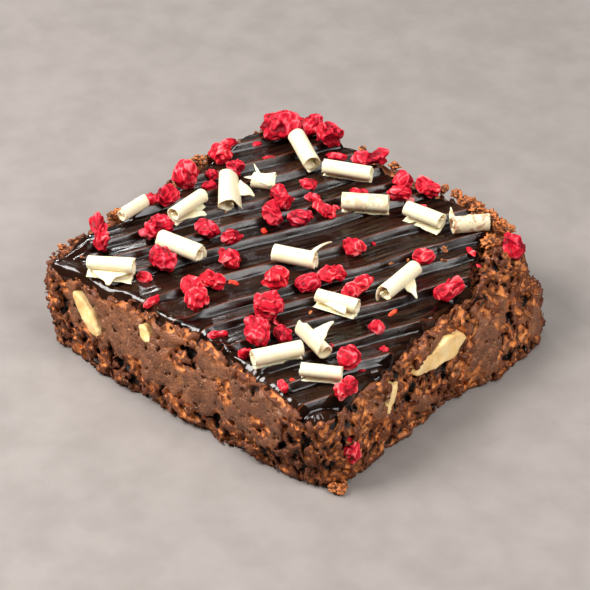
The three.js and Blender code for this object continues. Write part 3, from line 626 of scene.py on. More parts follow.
def icing_relief(along, across, x, y, rim):
    """Height of the icing over its mean, how near a crest is, how much it is drawn along its front edge, and
    how deep it lies in a groove."""
    lengthwise = np.column_stack([along / 9, across * 0, across * 0 + 3]).astype(np.float32)
    drift = across + 0.5 * soft_noise(lengthwise, 2.2, 1) + 0.25 * soft_noise(lengthwise * 3 + 9, 1.6, 2)
    stroke, since, before = stroke_height(drift)
    beside = np.column_stack([along / 16, drift, drift * 0]).astype(np.float32)
    crests = np.column_stack([along / 7, CRESTS[0] + drift // 5 * 5, drift * 0]).astype(np.float32)
    crest_fade = 0.55 + 0.45 * soft_noise(crests, 1.0, 8)
    lip = 0.30 * hump(before, 0, 0.35) + 0.30 * hump(since, 0, 0.3)
    second = 0.26 * hump(before, 1.4, 0.3) * smooth_step(soft_noise(beside, 3.0, 12), -0.2, 0.3)
    tooth = np.abs(2 * np.mod(drift / 1.7 + 0.25 * soft_noise(beside, 2.0, 15), 1) - 1)
    second += 0.26 * (1 - tooth) ** 2 * smooth_step(soft_noise(beside, 2.6, 17), -0.05, 0.35)
    trough = -0.65 * hump(since, 1.4, 0.6)
    combed = 0.2 * soft_noise(beside, 1.1, 13) + 0.09 * soft_noise(beside + 20, 0.55, 14)
    height = stroke + lip * crest_fade + second + trough + combed
    front = smooth_step(-y, 26, 31) * smooth_step(-x, -36, -30)
    strip = 5.6 * np.clip((-14 - x) / 26, 0, 1) * front
    drawn = smooth_step(strip - rim, -0.8, 1.2) * smooth_step(strip, 0.3, 1.5)
    places = flat(np.column_stack([x, y]))
    wander = 0.3 * soft_noise(places, 6.0, 18)
    ridges = 0.5 * np.cos((rim - 1.1 + wander) * 2 * math.pi / 2.1)
    ridges *= smooth_step(rim, 0.0, 0.8)
    height = height * (1 - drawn) + (0.25 + ridges) * drawn
    bead = front * (1 - drawn) * (0.4 * hump(rim, 1.4, 1.0) - 0.3 * hump(rim, 3.3, 1.0))
    bead *= 0.5 + 0.9 * soft_noise(places, 3.0, 19)
    height = height * (1 - 0.75 * front * (1 - smooth_step(rim, 1.4, 4.5))) + bead
    hollow = np.exp(-(((x + 7) / 8) ** 2 + ((y + 34.3) / 2.6) ** 2) ** 1.5)
    height = height * (1 - hollow) - 0.55 * hollow
    crest = np.maximum(hump(before, 0, 0.4), hump(since, 0, 0.35)) * (1 - drawn)
    groove = np.maximum(hump(since, 1.4, 0.75), smooth_step(-second - combed, -0.04, 0.1)) * (1 - drawn)
    return height, crest, drawn, groove


def icing_rows():
    """Places across the strokes of the rows of points, closer at the crests."""
    rows = []
    for start, end in zip(CRESTS[:-1], CRESTS[1:]):
        rows.extend(np.linspace(start - 0.9, start + 2.1, 16)[:-1])
        count = max(2, int((end - start - 3.0) / ROW_STEP))
        rows.extend(np.linspace(start + 2.1, end - 0.9, count + 1)[:-1])
    return np.array(rows)


def icing_grid(rim_loop):
    """Rows of places in the icing's outline, along and across the strokes, their places on the table, and
    the shape of the grid."""
    cos, sin = math.cos(STROKE_TURN), math.sin(STROKE_TURN)
    turn = np.array([[cos, sin], [sin, -cos]])
    loop = (rim_loop - SHIFT[:2]) @ turn.T
    after = np.roll(loop, -1, 0)
    rows, spans = [], []
    for row in icing_rows():
        crossed = (loop[:, 1] - row) * (after[:, 1] - row) < 0
        if crossed.sum() < 2:
            continue
        share = (row - loop[crossed, 1]) / (after[crossed, 1] - loop[crossed, 1])
        ends = loop[crossed, 0] + share * (after[crossed, 0] - loop[crossed, 0])
        if np.ptp(ends) < 1.5:
            continue
        rows.append(row)
        spans.append((ends.min(), ends.max()))
    rows, spans = np.array(rows), np.array(spans)
    near_end = np.array([0, 0.12, 0.3, 0.55, 0.85, 1.2, 1.6, 2.1, 2.7, 3.4, 4.2, 5.1]) / 100
    steps = np.concatenate([near_end, 0.06 + 0.88 * np.linspace(0, 1, STROKE_COLUMNS), 1 - near_end[::-1]])
    along = (spans[:, :1] + steps[None, :] * (spans[:, 1:] - spans[:, :1])).ravel()
    across = np.repeat(rows, len(steps))
    return along, across, np.column_stack([along, across]) @ turn, (len(rows), len(steps))


def build_icing(finish):
    """The spread of icing: rows of points along the strokes, rounded down to the cake at its rim."""
    rim_loop = ragged_rim()
    along, across, places, shape = icing_grid(rim_loop)
    x, y = places.T
    spots = places + SHIFT[:2]
    inner = np.zeros(shape, bool)
    inner[1:-1, 1:-1] = True
    rim = in_parts(lambda part: inside_depth(part, rim_loop), spots, size=8000)
    rim = np.where(inner.ravel(), np.maximum(rim, 0), 0)
    height, crest, drawn, groove = icing_relief(along, across, x, y, rim)
    level = cake_level(spots[:, 0], spots[:, 1])
    low = level - ICING_SINK
    top = level + ICING_LIFT + ICING_THICK + height
    on_front = smooth_step(-y, 30, 34)
    uneven = soft_noise(flat(spots), 4.0, 16)
    round_off = (1.4 + 0.4 * uneven) * (1 - on_front) + (2.0 + 1.1 * uneven) * on_front
    near = np.clip(rim / round_off, 0, 1)
    share = np.sqrt(np.clip(1 - (1 - near) ** 2, 0, 1)) * (1 - 0.4 * on_front) + 0.4 * on_front * near
    points = np.column_stack([spots, low + (top - low) * share])
    grid = np.arange(len(points)).reshape(shape)
    ring = np.concatenate([grid[0, :-1], grid[:-1, -1], grid[-1, :0:-1], grid[:0:-1, 0]])
    fan = np.stack([ring, np.roll(ring, -1), np.full(len(ring), len(points))], 1)
    points = np.concatenate([points, [[SHIFT[0], SHIFT[1], CAKE_TOP - ICING_SINK]]])
    # The crest value paints light showing through the thin crests, and the groove value paints shade in the
    # grooves.
    values = {
        "crest": np.append(crest, 0),
        "drawn": np.append(drawn, 0),
        "groove": np.append(groove, 0),
        "rim": np.append(rim, 5),
    }
    faces = faces_of(fan, quads_of(grid))
    add_piece("icing_spread", points, faces, finish, ["chocolate_icing"], values)


def icing_level(x, y):
    """Top of the icing as the solids have it, at places in the frame of the solids."""
    across = (x - SHIFT[0]) * math.sin(STROKE_TURN) - (y - SHIFT[1]) * math.cos(STROKE_TURN)
    return cake_level(x, y) + ICING_LIFT + ICING_THICK + stroke_height(across)[0]


# Pieces of raspberry
def draw(x, y, z):
    """A repeatable draw between 0 and 1 for whole-number places."""
    wave = np.sin(x * 127.1 + y * 311.7 + z * 74.7) * 43758.5453
    return wave - np.floor(wave)


def lumps(points):
    """The lumpy noise that the solids' pieces of raspberry have."""
    base = np.floor(points)
    part = points - base
    part = part * part * (3 - 2 * part)
    total = np.zeros(len(points))
    for corner in range(8):
        step = np.array([corner & 1, (corner >> 1) & 1, corner >> 2])
        weight = np.prod(np.where(step, part, 1 - part), axis=1)
        total += weight * draw(*(base + step).T)
    return 2 * total - 1


def ball(level):
    """Points and faces of a sphere of triangles with a radius of 1."""
    shape = bmesh.new()
    bmesh.ops.create_icosphere(shape, subdivisions=level, radius=1.0)
    points = np.array([corner.co[:] for corner in shape.verts])
    faces = [[corner.index for corner in face.verts] for face in shape.faces]
    shape.free()
    return points, faces


def turned(points, degrees, axis="Z"):
    """Points turned about an axis."""
    return points @ np.array(Matrix.Rotation(math.radians(degrees), 3, axis)).T


def berry(form, seed, level, fold=0.0, pinch=0.0, twist=0.0):
    """A wrinkled piece of dried raspberry round the origin: its points, its faces and a shade value, high on
    its ridges, which are paler partly from dust and partly as a painted highlight, and low in its creases and
    cups for painted shade. A fold cups its middle, a pinch narrows its waist, and a twist winds it, in
    degrees."""
    length, width, height, turn = form
    spots, faces = ball(level)
    waist = 0.75 + 0.3 * np.abs(spots[:, 0]) if length > 1.6 * width else np.ones(len(spots))
    swell = 1 + 0.24 * lumps(spots * 1.9 + np.array([seed * 7, 0, seed]))
    half = np.array([length, width, height]) / 2
    body = spots * swell[:, None] * half
    body[:, 1:] *= waist[:, None]
    out = spots / half
    out /= np.linalg.norm(out, axis=1)[:, None]
    centre = (body.max(0) + body.min(0)) / 2
    loose = (body + np.array([seed * 3.7, seed * 1.9, 0])).astype(np.float32)
    loose = loose + 0.45 * np.stack([soft_noise(loose, 1.6, 60 + axis) for axis in range(3)], 1)
    angle = 2.4 * seed
    grain = stretched(loose, (math.cos(angle), math.sin(angle) * 0.6, math.sin(angle) * 0.8), 3.0)
    ridge = 1 - np.clip(np.abs(soft_noise(grain, 1.15, 64)) * 2.4, 0, 1)
    fine = 1 - np.clip(np.abs(soft_noise(grain, 0.55, 65)) * 2.2, 0, 1)
    crease = hump(soft_noise(loose, 3.4, 66), 0, 0.07)
    cup = smooth_step(soft_noise(loose, 3.0, 67), 0.25, 0.7)
    size = min(1.0, min(width, height) / 4.2)
    push = size * (0.26 * (ridge - 0.35) + 0.10 * (fine - 0.4) - 0.34 * crease - 0.7 * cup)
    if fold:
        ring = np.hypot(body[:, 0], body[:, 1])
        push += 0.28 * np.sin(ring * 4.2 + 2) - fold * hump(ring, 0, 1.1)
    if pinch:
        push -= pinch * hump(body[:, 0], 0, 0.14 * length)
    body = body + out * push[:, None]
    if twist:
        bend = np.radians(twist) * (body[:, 0] / length)
        side = body[:, 1] * np.cos(bend) - body[:, 2] * np.sin(bend)
        body[:, 2] = body[:, 1] * np.sin(bend) + body[:, 2] * np.cos(bend)
        body[:, 1] = side
    # Paler on the ridges, partly dust and partly painted highlight, and painted shade in the creases and
    # cups.
    shade = np.clip(0.46 + 0.5 * (ridge - 0.4) + 0.3 * (fine - 0.4) - 0.6 * crease - 0.4 * cup, 0, 1)
    return turned(body - centre, turn), faces, shade


def build_berries(finish):
    """The larger pieces of raspberry, each on its own node."""
    for number, form in enumerate(BERRIES):
        fold, pinch, twist, tone = BERRY_FORMS.get(number + 1, (0, 0, 0, None))
        points, faces, shade = berry(form, number, BERRY_LEVEL, fold, pinch, twist)
        node = f"raspberry_{number + 1:02d}"
        low, high = box_of(node)
        tone = draw(number, 3, 5) if tone is None else tone
        values = {"shade": shade, "tone": np.full(len(points), tone)}
        points = points + (low + high) / 2 - np.array([0, 0, BERRY_SINK])
        add_piece(f"piece_{node}", points, faces, finish, [node], values)


def joined(parts):
    """Points, faces and values of several bodies in one."""
    points, faces, values, base = [], [], {}, 0
    for spots, sides, numbers in parts:
        points.append(spots)
        faces.extend([[corner + base for corner in side] for side in sides])
        for key, entries in numbers.items():
            values.setdefault(key, []).append(entries)
        base += len(spots)
    return np.concatenate(points), faces, {key: np.concatenate(entries) for key, entries in values.items()}


def build_flakes(finish):
    """The small flakes that are fused to the icing, and the pieces that are fused to the cake."""
    parts = []
    for number, (x, y, length, width, height, turn, tone) in enumerate(FLAKES):
        points, faces, shade = berry((length, width, height, turn), number + 50, 4)
        place = np.array([x, y, 0]) + SHIFT
        place[2] = icing_level(place[0], place[1]) - 0.5 + 0.46 * height
        parts.append((points + place, faces, {"shade": shade, "tone": np.full(len(points), tone)}))
    points, faces, values = joined(parts)
    add_piece("raspberry_flakes", points, faces, finish, ["chocolate_icing"], values)
    for name, (form, seed, fold, pinch, place, tone) in CAKE_BERRIES.items():
        points, faces, shade = berry(form, seed, 5, fold, pinch)
        values = {"shade": shade, "tone": np.full(len(points), tone)}
        points = points + np.array(place) + SHIFT
        add_piece(name, points, faces, finish, ["brownie_cake"], values)


# Crumbs
def build_crumbs(finish):
    """The loose crumbs of cake on the icing, along its edge and by the foot."""
    parts = []
    for number, (x, y, z, size) in enumerate(CRUMBS):
        spots, faces = ball(4)
        loose = (spots * size + number * 3.1).astype(np.float32)
        knobs = 0.6 * soft_noise(loose, 1.0, 71) - 0.9 * np.abs(soft_noise(loose, 0.55, 72)) + 0.2
        points = spots * (size / 2) * (1 + 0.9 * knobs)[:, None] * np.array([1.15, 0.8, 0.7])
        points = turned(points, 57 * number)
        # The hollows between the knobs get painted shade and the knobs painted highlights, through the crumb
        # finish.
        values = {
            "bulge": 0.12 * knobs - 0.04,
            "pore_shade": np.clip(1.2 - 1.6 * knobs, 0, 1.3),
            "fudge": np.zeros(len(points)),
        }
        points = points + np.array([x, y, z]) + SHIFT
        points[:, 2] = np.maximum(points[:, 2], 0.0)
        parts.append((points, faces, values))
    points, faces, values = joined(parts)
    add_piece("loose_crumbs", points, faces, finish, (), values)


# Curls
def curl_shell(form, seed, ragged=True):
    """A rolled curl round the origin, a closed shell that is thin at its edges."""
    length, radius1, radius2, turn, tilt, turns, start, flare, ragged1, ragged2 = form
    radius = (radius1 + radius2) / 2
    share, run = np.meshgrid(np.linspace(0, 1, CURL_STEPS), np.linspace(0, 1, CURL_ROWS))
    arc = share * turns * 2 * math.pi * radius
    if ragged:
        def tear(place):
            spot = np.stack([arc, arc * 0 + place, arc * 0 + seed * 5], -1).reshape(-1, 3).astype(np.float32)
            jag = 0.5 + 0.5 * soft_noise(spot, 2.2, seed) + 0.45 * np.abs(soft_noise(spot, 0.7, seed + 1))
            return jag.reshape(arc.shape)
        low, high = ragged1 * 1.3 * tear(1.0), ragged2 * 1.3 * tear(50.0)
        spot = np.stack([run * length, run * 0 + 3.0, run * 0 + seed], -1).reshape(-1, 3).astype(np.float32)
        jag = 0.016 * (1 + soft_noise(spot, 1.6, seed + 2)) + 0.012 * np.abs(soft_noise(spot, 0.6, seed + 3))
        share = jag.reshape(arc.shape) / turns * 1.2 + share * (1 - jag.reshape(arc.shape) / turns * 1.2)
    else:
        low = high = np.zeros(arc.shape)
    x = -length / 2 + low + run * (length - low - high)
    angle = math.radians(start) + share * turns * 2 * math.pi
    reach = radius - share * turns * (CURL_WALL + 0.35) + flare * np.maximum(0, 1 - share * turns * 5) ** 2
    taper = (radius1 + (radius2 - radius1) * (x / length + 0.5)) / radius
    spot = np.stack([x, arc, arc * 0 + seed * 3], -1).reshape(-1, 3).astype(np.float32)
    wave = 0.05 * soft_noise(spot, 3.5, seed + 4).reshape(arc.shape)
    thin = 0.3 + 0.7 * smooth_step(share * turns * 2 * math.pi * radius, 0.0, 1.6)
    thin *= 0.45 + 0.55 * smooth_step(np.minimum(run, 1 - run) * length, 0.0, 0.35)
    sheets = []
    for depth in (0, 1):
        away = (reach + wave - depth * CURL_WALL * thin) * taper
        sheets.append(np.stack([x, np.cos(angle) * away, np.sin(angle) * away], -1).reshape(-1, 3))
    return turned(turned(np.concatenate(sheets), tilt, "Y"), turn), shell_faces(CURL_ROWS, CURL_STEPS)


def shard(root1, root2, tip, seed):
    """A thin pointed sheet from two corners of its root to its tip, bent a little, with a ragged edge."""
    root1, root2, tip = (np.array(corner) + SHIFT for corner in (root1, root2, tip))
    run = np.linspace(0, 1, SHARD_STEPS)
    along, side = (share.ravel()[:, None] for share in np.meshgrid(run, run))
    root = root1 * (1 - side) + root2 * side
    spots = root * (1 - along) + (tip + (side - 0.5) * (root2 - root1) * 0.08) * along
    across = np.cross(root2 - root1, tip - root1)
    across /= np.linalg.norm(across)
    across *= np.sign(across[2])
    jag = soft_noise((spots + seed * 4).astype(np.float32), 1.4, seed + 80)[:, None]
    spots = spots + across * (0.5 * np.sin(math.pi * along) + 0.12 * jag)
    spots = spots + (root2 - root1) * (0.10 * jag * along * (1 - along) * 4)
    return np.concatenate([spots, spots - across * SHARD_WALL]), shell_faces(SHARD_STEPS, SHARD_STEPS)


def build_curls(finish):
    """The rolled curls, each on its own node."""
    for number, form in enumerate(CURLS):
        node = f"white_curl_{number + 1:02d}"
        low, high = box_of(node)
        plain, _ = curl_shell(form, number, ragged=False)
        points, quads = curl_shell(form, number)
        points = points + (low + high) / 2 - (plain.max(0) + plain.min(0)) / 2 - np.array([0, 0, CURL_SINK])
        parts = [(points, faces_of([], quads), {})]
        for place, (curl, *corners) in enumerate(SHARDS):
            if curl == number + 1:
                spots, sides = shard(*corners, place)
                parts.append((spots, faces_of([], sides), {}))
        points, faces, _ = joined(parts)
        values = {"smear": np.full(len(points), CURL_SMEARS.get(number + 1, 0.0))}
        add_piece(f"piece_{node}", points, faces, finish, [node], values)


# Chunks
def build_chunks(finish):
    """The white chunks in the cut sides, a little uneven and larger, so that they fill their pockets."""
    for number in range(1, 7):
        node = f"white_chunk_{number}"
        points, triangles = node_mesh(node)
        field = Field(points, triangles, CHUNK_VOXEL, 6)
        cells = np.argwhere(np.abs(field.values) < 1.5)
        spots = field.places(cells)
        swell = 0.34 + 0.5 * soft_noise(spots, 3.0, number) + 0.2 * soft_noise(spots, 1.1, number + 7)
        field.values[tuple(cells.T)] -= swell
        points, triangles, quads = field.surface(0.05)
        add_piece(f"piece_{node}", points, faces_of(triangles, quads), finish, [node])


# Finishes
def tint(red, green, blue):
    """A colour for the shader from its values on screen, 0 to 255."""
    def straight(value):
        share = value / 255
        return share / 12.92 if share <= 0.04045 else ((share + 0.055) / 1.055) ** 2.4
    return (straight(red), straight(green), straight(blue), 1.0)


class Nodes:
    """The nodes of a material, a group or the surroundings, added one after the other."""

    def __init__(self, tree):
        self.nodes = tree.nodes
        self.links = tree.links

    def put(self, value, socket):
        """Links an output to a socket, or sets the socket to a constant."""
        if isinstance(value, bpy.types.NodeSocket):
            self.links.new(value, socket)
        else:
            socket.default_value = value

    def add(self, kind, settings=None, **inputs):
        """A node with its settings, and with constants or outputs for its inputs."""
        node = self.nodes.new("ShaderNode" + kind)
        for label, setting in (settings or {}).items():
            setattr(node, label, setting)
        for label, value in inputs.items():
            self.put(value, node.inputs[label])
        return node

    def math(self, operation, *values):
        """What a sum gives."""
        node = self.add("Math", {"operation": operation})
        for place, value in enumerate(values):
            self.put(value, node.inputs[place])
        return node.outputs[0]

    def steps(self, value, low, high, start=0.0, end=1.0):
        """A value eased from one range into another."""
        node = self.add("MapRange", {"interpolation_type": "SMOOTHSTEP"})
        for place, entry in enumerate((value, low, high, start, end)):
            self.put(entry, node.inputs[place])
        return node.outputs["Result"]

    def mix(self, places, output, settings, *values):
        """A mix of its values, which go to these places, with the output at a place."""
        node = self.add("Mix", settings)
        for place, value in zip(places, values):
            self.put(value, node.inputs[place])
        return node.outputs[output]

    def texture(self, kind, size, settings=None, **inputs):
        """A texture over the piece's own place, with its size in millimetres."""
        place = self.add("TexCoord").outputs["Object"]
        return self.add(kind, settings, Vector=place, Scale=self.math("DIVIDE", 1 / MM, size), **inputs)


def new_group(name, inputs, output):
    """A node group with number inputs and one output: the group, its nodes, its inputs and its output."""
    group = bpy.data.node_groups.new(name, "ShaderNodeTree")
    for label, start in inputs.items():
        socket = group.interface.new_socket(label, in_out="INPUT", socket_type="NodeSocketFloat")
        socket.default_value = start
    group.interface.new_socket(output, in_out="OUTPUT", socket_type="NodeSocketFloat")
    given = group.nodes.new("NodeGroupInput").outputs
    made = group.nodes.new("NodeGroupOutput").inputs[output]
    return group, Nodes(group), given, made


def mottling_group():
    """Soft blotches: a mask with their size in millimetres and how hard their edges are."""
    group, tree, given, made = new_group("mottling", {"Size": 5.0, "Hardness": 0.5, "Offset": 0.0}, "Mask")
    settings = {"noise_dimensions": "4D"}
    noise = tree.texture("TexNoise", given["Size"], settings, Detail=4.0, W=given["Offset"])
    reach = tree.math("MULTIPLY_ADD", given["Hardness"], -0.22, 0.24)
    low, high = tree.math("SUBTRACT", 0.5, reach), tree.math("ADD", 0.5, reach)
    tree.put(tree.steps(noise.outputs["Fac"], low, high), made)
    return group


def grain_group():
    """Fine relief: a height from small cells and noise, with the size of the cells in millimetres."""
    group, tree, given, made = new_group("fine grain", {"Size": 0.4, "Cells": 0.5}, "Height")
    noise = tree.texture("TexNoise", given["Size"], Detail=3.0).outputs["Fac"]
    cells = tree.texture("TexVoronoi", given["Size"]).outputs["Distance"]
    tree.put(tree.mix((0, 2, 3), 0, {}, given["Cells"], noise, cells), made)
    return group


def specks_group():
    """Small scattered dots: a mask with their spacing in millimetres, their radius and the share shown."""
    group, tree, given, made = new_group("specks", {"Spacing": 2.0, "Radius": 0.15, "Share": 0.3}, "Mask")
    cells = tree.texture("TexVoronoi", given["Spacing"])
    near = tree.math("LESS_THAN", cells.outputs["Distance"], given["Radius"])
    draws = tree.add("SeparateColor", Color=cells.outputs["Color"])
    chosen = tree.math("LESS_THAN", draws.outputs[0], given["Share"])
    tree.put(tree.math("MULTIPLY", near, chosen), made)
    return group


MOTTLING = mottling_group()
GRAIN = grain_group()
SPECKS = specks_group()


class Finish(Nodes):
    """A material and its nodes."""

    def __init__(self, name, **constants):
        self.material = bpy.data.materials.new(name)
        self.material.use_nodes = True
        super().__init__(self.material.node_tree)
        self.shader = self.nodes["Principled BSDF"]
        for label, value in constants.items():
            self.shader.inputs[label.replace("_", " ")].default_value = value

    def attribute(self, name):
        """A value that the piece has at each point."""
        return self.add("Attribute", {"attribute_name": name}).outputs["Fac"]

    def group(self, group, **inputs):
        """What a node group gives."""
        return self.add("Group", {"node_tree": group}, **inputs).outputs[0]

    def blend(self, mask, low, high):
        """One colour into another by a mask."""
        return self.mix((0, 6, 7), 2, {"data_type": "RGBA"}, mask, low, high)

    def bump(self, height, depth, strength=1.0):
        """A normal with relief of a depth in millimetres."""
        return self.add("Bump", Strength=strength, Distance=depth * MM, Height=height).outputs["Normal"]

    def paint(self, colour, rough, normal):
        """Ends the material."""
        self.put(colour, self.shader.inputs["Base Color"])
        self.put(rough, self.shader.inputs["Roughness"])
        self.put(normal, self.shader.inputs["Normal"])
        return self.material


def cake_finish():
    """Baked crumb with painted highlights on its bulging edges and painted shade in its pores and creases,
    and smooth grey-brown fudge.
    """
    finish = Finish("baked crumb", Specular_IOR_Level=0.4)
    blotch = finish.group(MOTTLING, Size=6.0, Hardness=0.4, Offset=1.0)
    crumb = finish.blend(blotch, tint(186, 104, 52), tint(224, 134, 72))
    grains = finish.steps(finish.group(GRAIN, Size=0.5, Cells=0.6), 0.28, 0.6)
    patches = finish.group(MOTTLING, Size=2.6, Hardness=0.2, Offset=2.0)
    fudge = finish.blend(grains, tint(108, 66, 43), tint(152, 98, 66))
    fudge = finish.blend(finish.math("MULTIPLY", patches, 0.6), fudge, tint(92, 58, 42))
    smooth = finish.attribute("fudge")
    colour = finish.blend(smooth, crumb, fudge)
    # Painted highlight: the crumb turns bright orange on its bulging edges, less on the fudge.
    edge = finish.steps(finish.attribute("bulge"), 0.03, 0.24)
    painted_edge_highlight = finish.math("MULTIPLY", edge, finish.steps(smooth, 1.0, 0.2, 0.2, 1.0))
    colour = finish.blend(painted_edge_highlight, colour, tint(242, 158, 86))
    # Painted shade: the crumb goes dark brown in its creases, less on the fudge.
    crease = finish.steps(finish.attribute("bulge"), 0.0, -0.26)
    colour = finish.blend(finish.math("MULTIPLY", crease, finish.steps(smooth, 1.0, 0.2, 0.25, 0.9)), colour,
                          tint(82, 36, 15))
    # Painted shade: the crumb goes near black where it lies deep below the plain surface, in its pores.
    pore_shade = finish.steps(finish.attribute("pore_shade"), 0.8, 1.5)
    colour = finish.blend(pore_shade, colour, tint(16, 6, 3))
    flecks = finish.group(SPECKS, Spacing=0.8, Radius=0.16, Share=0.22)
    colour = finish.blend(finish.math("MULTIPLY", flecks, finish.steps(pore_shade, 0.4, 0.0, 0.0, 0.7)), colour,
                          tint(228, 190, 150))
    rough = finish.steps(smooth, 0.0, 1.0, 0.55, 0.42)
    grain = finish.group(GRAIN, Size=0.45, Cells=0.5)
    return finish.paint(colour, rough, finish.bump(grain, 0.3, 0.9))


def icing_finish():
    """Dark chocolate, satin on its bands, glossier at its rim, with painted shade in its grooves and a
    painted lighter brown on its crests for light showing through them.
    """
    finish = Finish("combed dark icing", Specular_IOR_Level=0.4)
    blotch = finish.group(MOTTLING, Size=11.0, Hardness=0.0, Offset=3.0)
    colour = finish.blend(blotch, tint(26, 12, 7), tint(48, 28, 18))
    # Painted shade: the icing goes near black in its grooves.
    colour = finish.blend(finish.math("MULTIPLY", finish.attribute("groove"), 0.9), colour, tint(8, 3, 2))
    crest = finish.attribute("crest")
    # Painted light: a lighter red-brown on the crests, for light showing through their thin edges.
    colour = finish.blend(finish.steps(crest, 0.55, 1.0, 0.0, 0.6), colour, tint(104, 52, 30))
    dull = finish.group(MOTTLING, Size=3.5, Hardness=0.2, Offset=4.0)
    rough = finish.steps(dull, 0.0, 1.0, 0.16, 0.34)
    at_rim = finish.steps(finish.attribute("rim"), 3.0, 1.6)
    glossy = finish.math("MAXIMUM", finish.attribute("drawn"), at_rim)
    rough = finish.math("MULTIPLY", rough, finish.steps(glossy, 0.0, 1.0, 1.0, 0.45))
    return finish.paint(colour, rough, finish.bump(finish.group(GRAIN, Size=0.5, Cells=0.2), 0.02))


def berry_finish():
    """Dry fruit: pink ridges, pale partly from dust and partly as a painted highlight, red flesh, and painted
    shade in the creases; a high tone is pale, the highest orange.
    """
    finish = Finish("dried raspberry", Specular_IOR_Level=0.2)
    tone, shade = finish.attribute("tone"), finish.attribute("shade")
    lift = finish.steps(tone, 0.0, 1.0)
    dark = finish.blend(lift, tint(116, 3, 22), tint(166, 8, 30))
    middle = finish.blend(lift, tint(206, 16, 44), tint(240, 26, 48))
    light = finish.blend(lift, tint(240, 96, 110), tint(255, 138, 134))
    # By the shade value: a painted shade colour in creases and cups, the red flesh, and a pale ridge colour
    # that is partly dust and partly painted highlight.
    colour = finish.blend(finish.steps(shade, 0.05, 0.5), dark, middle)
    colour = finish.blend(finish.steps(shade, 0.45, 0.85), colour, light)
    pale = finish.math("MULTIPLY", finish.steps(tone, 1.1, 1.4), finish.steps(tone, 1.8, 1.6))
    colour = finish.blend(pale, colour, tint(244, 140, 140))
    orange = finish.blend(finish.steps(shade, 0.1, 0.8), tint(206, 44, 28), tint(244, 96, 62))
    colour = finish.blend(finish.steps(tone, 1.7, 1.9), colour, orange)
    grain = finish.group(GRAIN, Size=0.3, Cells=0.3)
    return finish.paint(colour, finish.steps(shade, 0.0, 1.0, 0.5, 0.7), finish.bump(grain, 0.06))


def curl_finish():
    """Satin white chocolate with a few orange-brown specks, and smears of crumb on some."""
    finish = Finish("white chocolate curl", Specular_IOR_Level=0.4, Subsurface_Weight=0.25,
                    Subsurface_Scale=1.2 * MM)
    blotch = finish.group(MOTTLING, Size=3.0, Hardness=0.0, Offset=6.0)
    colour = finish.blend(blotch, tint(243, 227, 186), tint(249, 238, 206))
    dots = finish.group(SPECKS, Spacing=1.3, Radius=0.13, Share=0.07)
    colour = finish.blend(finish.math("MULTIPLY", dots, 0.7), colour, tint(206, 126, 52))
    smudge = finish.group(MOTTLING, Size=1.6, Hardness=0.9, Offset=7.0)
    smudge = finish.math("MULTIPLY", finish.steps(smudge, 0.6, 1.0), finish.attribute("smear"))
    colour = finish.blend(smudge, colour, tint(166, 92, 40))
    return finish.paint(colour, 0.5, finish.bump(finish.group(GRAIN, Size=0.8, Cells=0.0), 0.03))


def chunk_finish():
    """Baked white chocolate, cream in the middle and golden in patches."""
    finish = Finish("baked white chunk", Specular_IOR_Level=0.4, Subsurface_Weight=0.15,
                    Subsurface_Scale=1.2 * MM)
    blotch = finish.group(MOTTLING, Size=3.0, Hardness=0.3, Offset=8.0)
    colour = finish.blend(blotch, tint(232, 186, 114), tint(248, 216, 158))
    return finish.paint(colour, 0.55, finish.bump(finish.group(GRAIN, Size=0.5, Cells=0.0), 0.05))


baked = cake_finish()
build_cake(baked)
build_crumbs(baked)
build_icing(icing_finish())
fruit = berry_finish()
build_berries(fruit)
build_flakes(fruit)
build_curls(curl_finish())
build_chunks(chunk_finish())


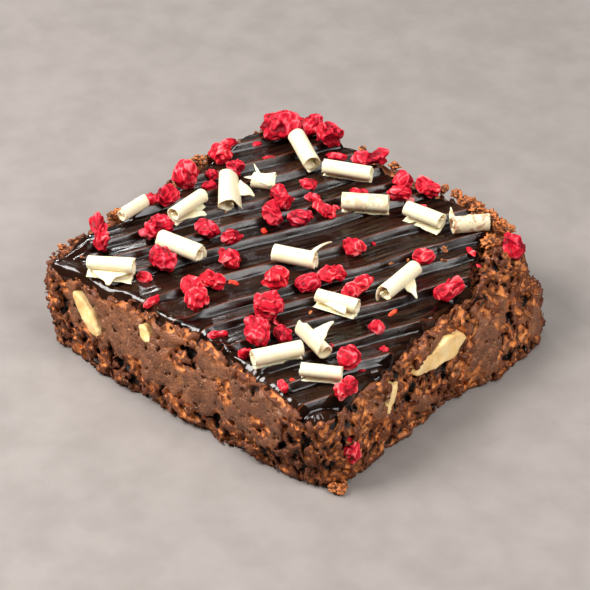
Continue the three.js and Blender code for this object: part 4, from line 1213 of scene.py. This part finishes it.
# The place, the light and the camera
def build_stage():
    """A plain pale floor."""
    half = 1.5
    corners = [(-half, -half, 0), (half, -half, 0), (half, half, 0), (-half, half, 0)]
    mesh = bpy.data.meshes.new("floor")
    mesh.from_pydata(corners, [], [(0, 1, 2, 3)])
    floor = bpy.data.objects.new("floor", mesh)
    bpy.context.scene.collection.objects.link(floor)
    finish = Finish("pale floor", Specular_IOR_Level=0.2)
    blotch = finish.group(MOTTLING, Size=9.0, Hardness=0.0, Offset=5.0)
    colour = finish.blend(blotch, tint(138, 131, 127), tint(148, 141, 137))
    grain = finish.group(GRAIN, Size=0.7, Cells=0.0)
    mesh.materials.append(finish.paint(colour, 0.75, finish.bump(grain, 0.05)))


def add_light(name, place, size, power, colour):
    """A soft square light that looks at the middle of the brownie."""
    lamp = bpy.data.lights.new(name, "AREA")
    lamp.size = size
    lamp.energy = power
    lamp.color = colour
    light = bpy.data.objects.new(name, lamp)
    light.location = place
    light.rotation_euler = (Vector((0, 0, 0.01)) - Vector(place)).to_track_quat("-Z", "Y").to_euler()
    bpy.context.scene.collection.objects.link(light)


def build_light():
    """A large soft light from the front left, a fill from the right, a weak one from behind, and
    surroundings that are pale overhead and dark elsewhere."""
    add_light("key", (-0.25, -0.29, 0.46), 0.28, 5.2, (1.0, 0.985, 0.96))
    add_light("fill", (0.5, -0.02, 0.54), 0.4, 4.2, (1.0, 0.99, 0.98))
    add_light("behind", (-0.6, 0.42, 0.36), 0.1, 1.1, (1.0, 1.0, 1.0))
    world = bpy.data.worlds.new("surroundings")
    world.use_nodes = True
    tree = Nodes(world.node_tree)
    background = tree.nodes["Background"]
    place = tree.add("SeparateXYZ", Vector=tree.add("TexCoord").outputs["Generated"])
    tree.put(tree.steps(place.outputs["Z"], 0.8, 1.0, 0.03, 1.7), background.inputs["Strength"])
    background.inputs["Color"].default_value = (1.0, 0.985, 0.96, 1)
    bpy.context.scene.world = world
    bpy.context.scene.view_settings.view_transform = "Standard"


# The camera: where it stands, what it looks at, and the focal length and width of the picture in its pixels
EYE = (0.31500, -0.37036, 0.36390)
AIM = (-0.00090, -0.00180, 0.01123)
FOCAL_PIXELS = 2633.0
PICTURE_PIXELS = 590.0


def build_camera():
    """The view of the photograph."""
    camera = bpy.data.cameras.new("camera")
    camera.sensor_width = 36.0
    camera.lens = FOCAL_PIXELS / PICTURE_PIXELS * camera.sensor_width
    camera.clip_start = 0.01
    holder = bpy.data.objects.new("camera", camera)
    holder.location = EYE
    holder.rotation_euler = (Vector(AIM) - Vector(EYE)).to_track_quat("-Z", "Y").to_euler()
    bpy.context.scene.collection.objects.link(holder)
    bpy.context.scene.camera = holder


build_stage()
build_light()
build_camera()
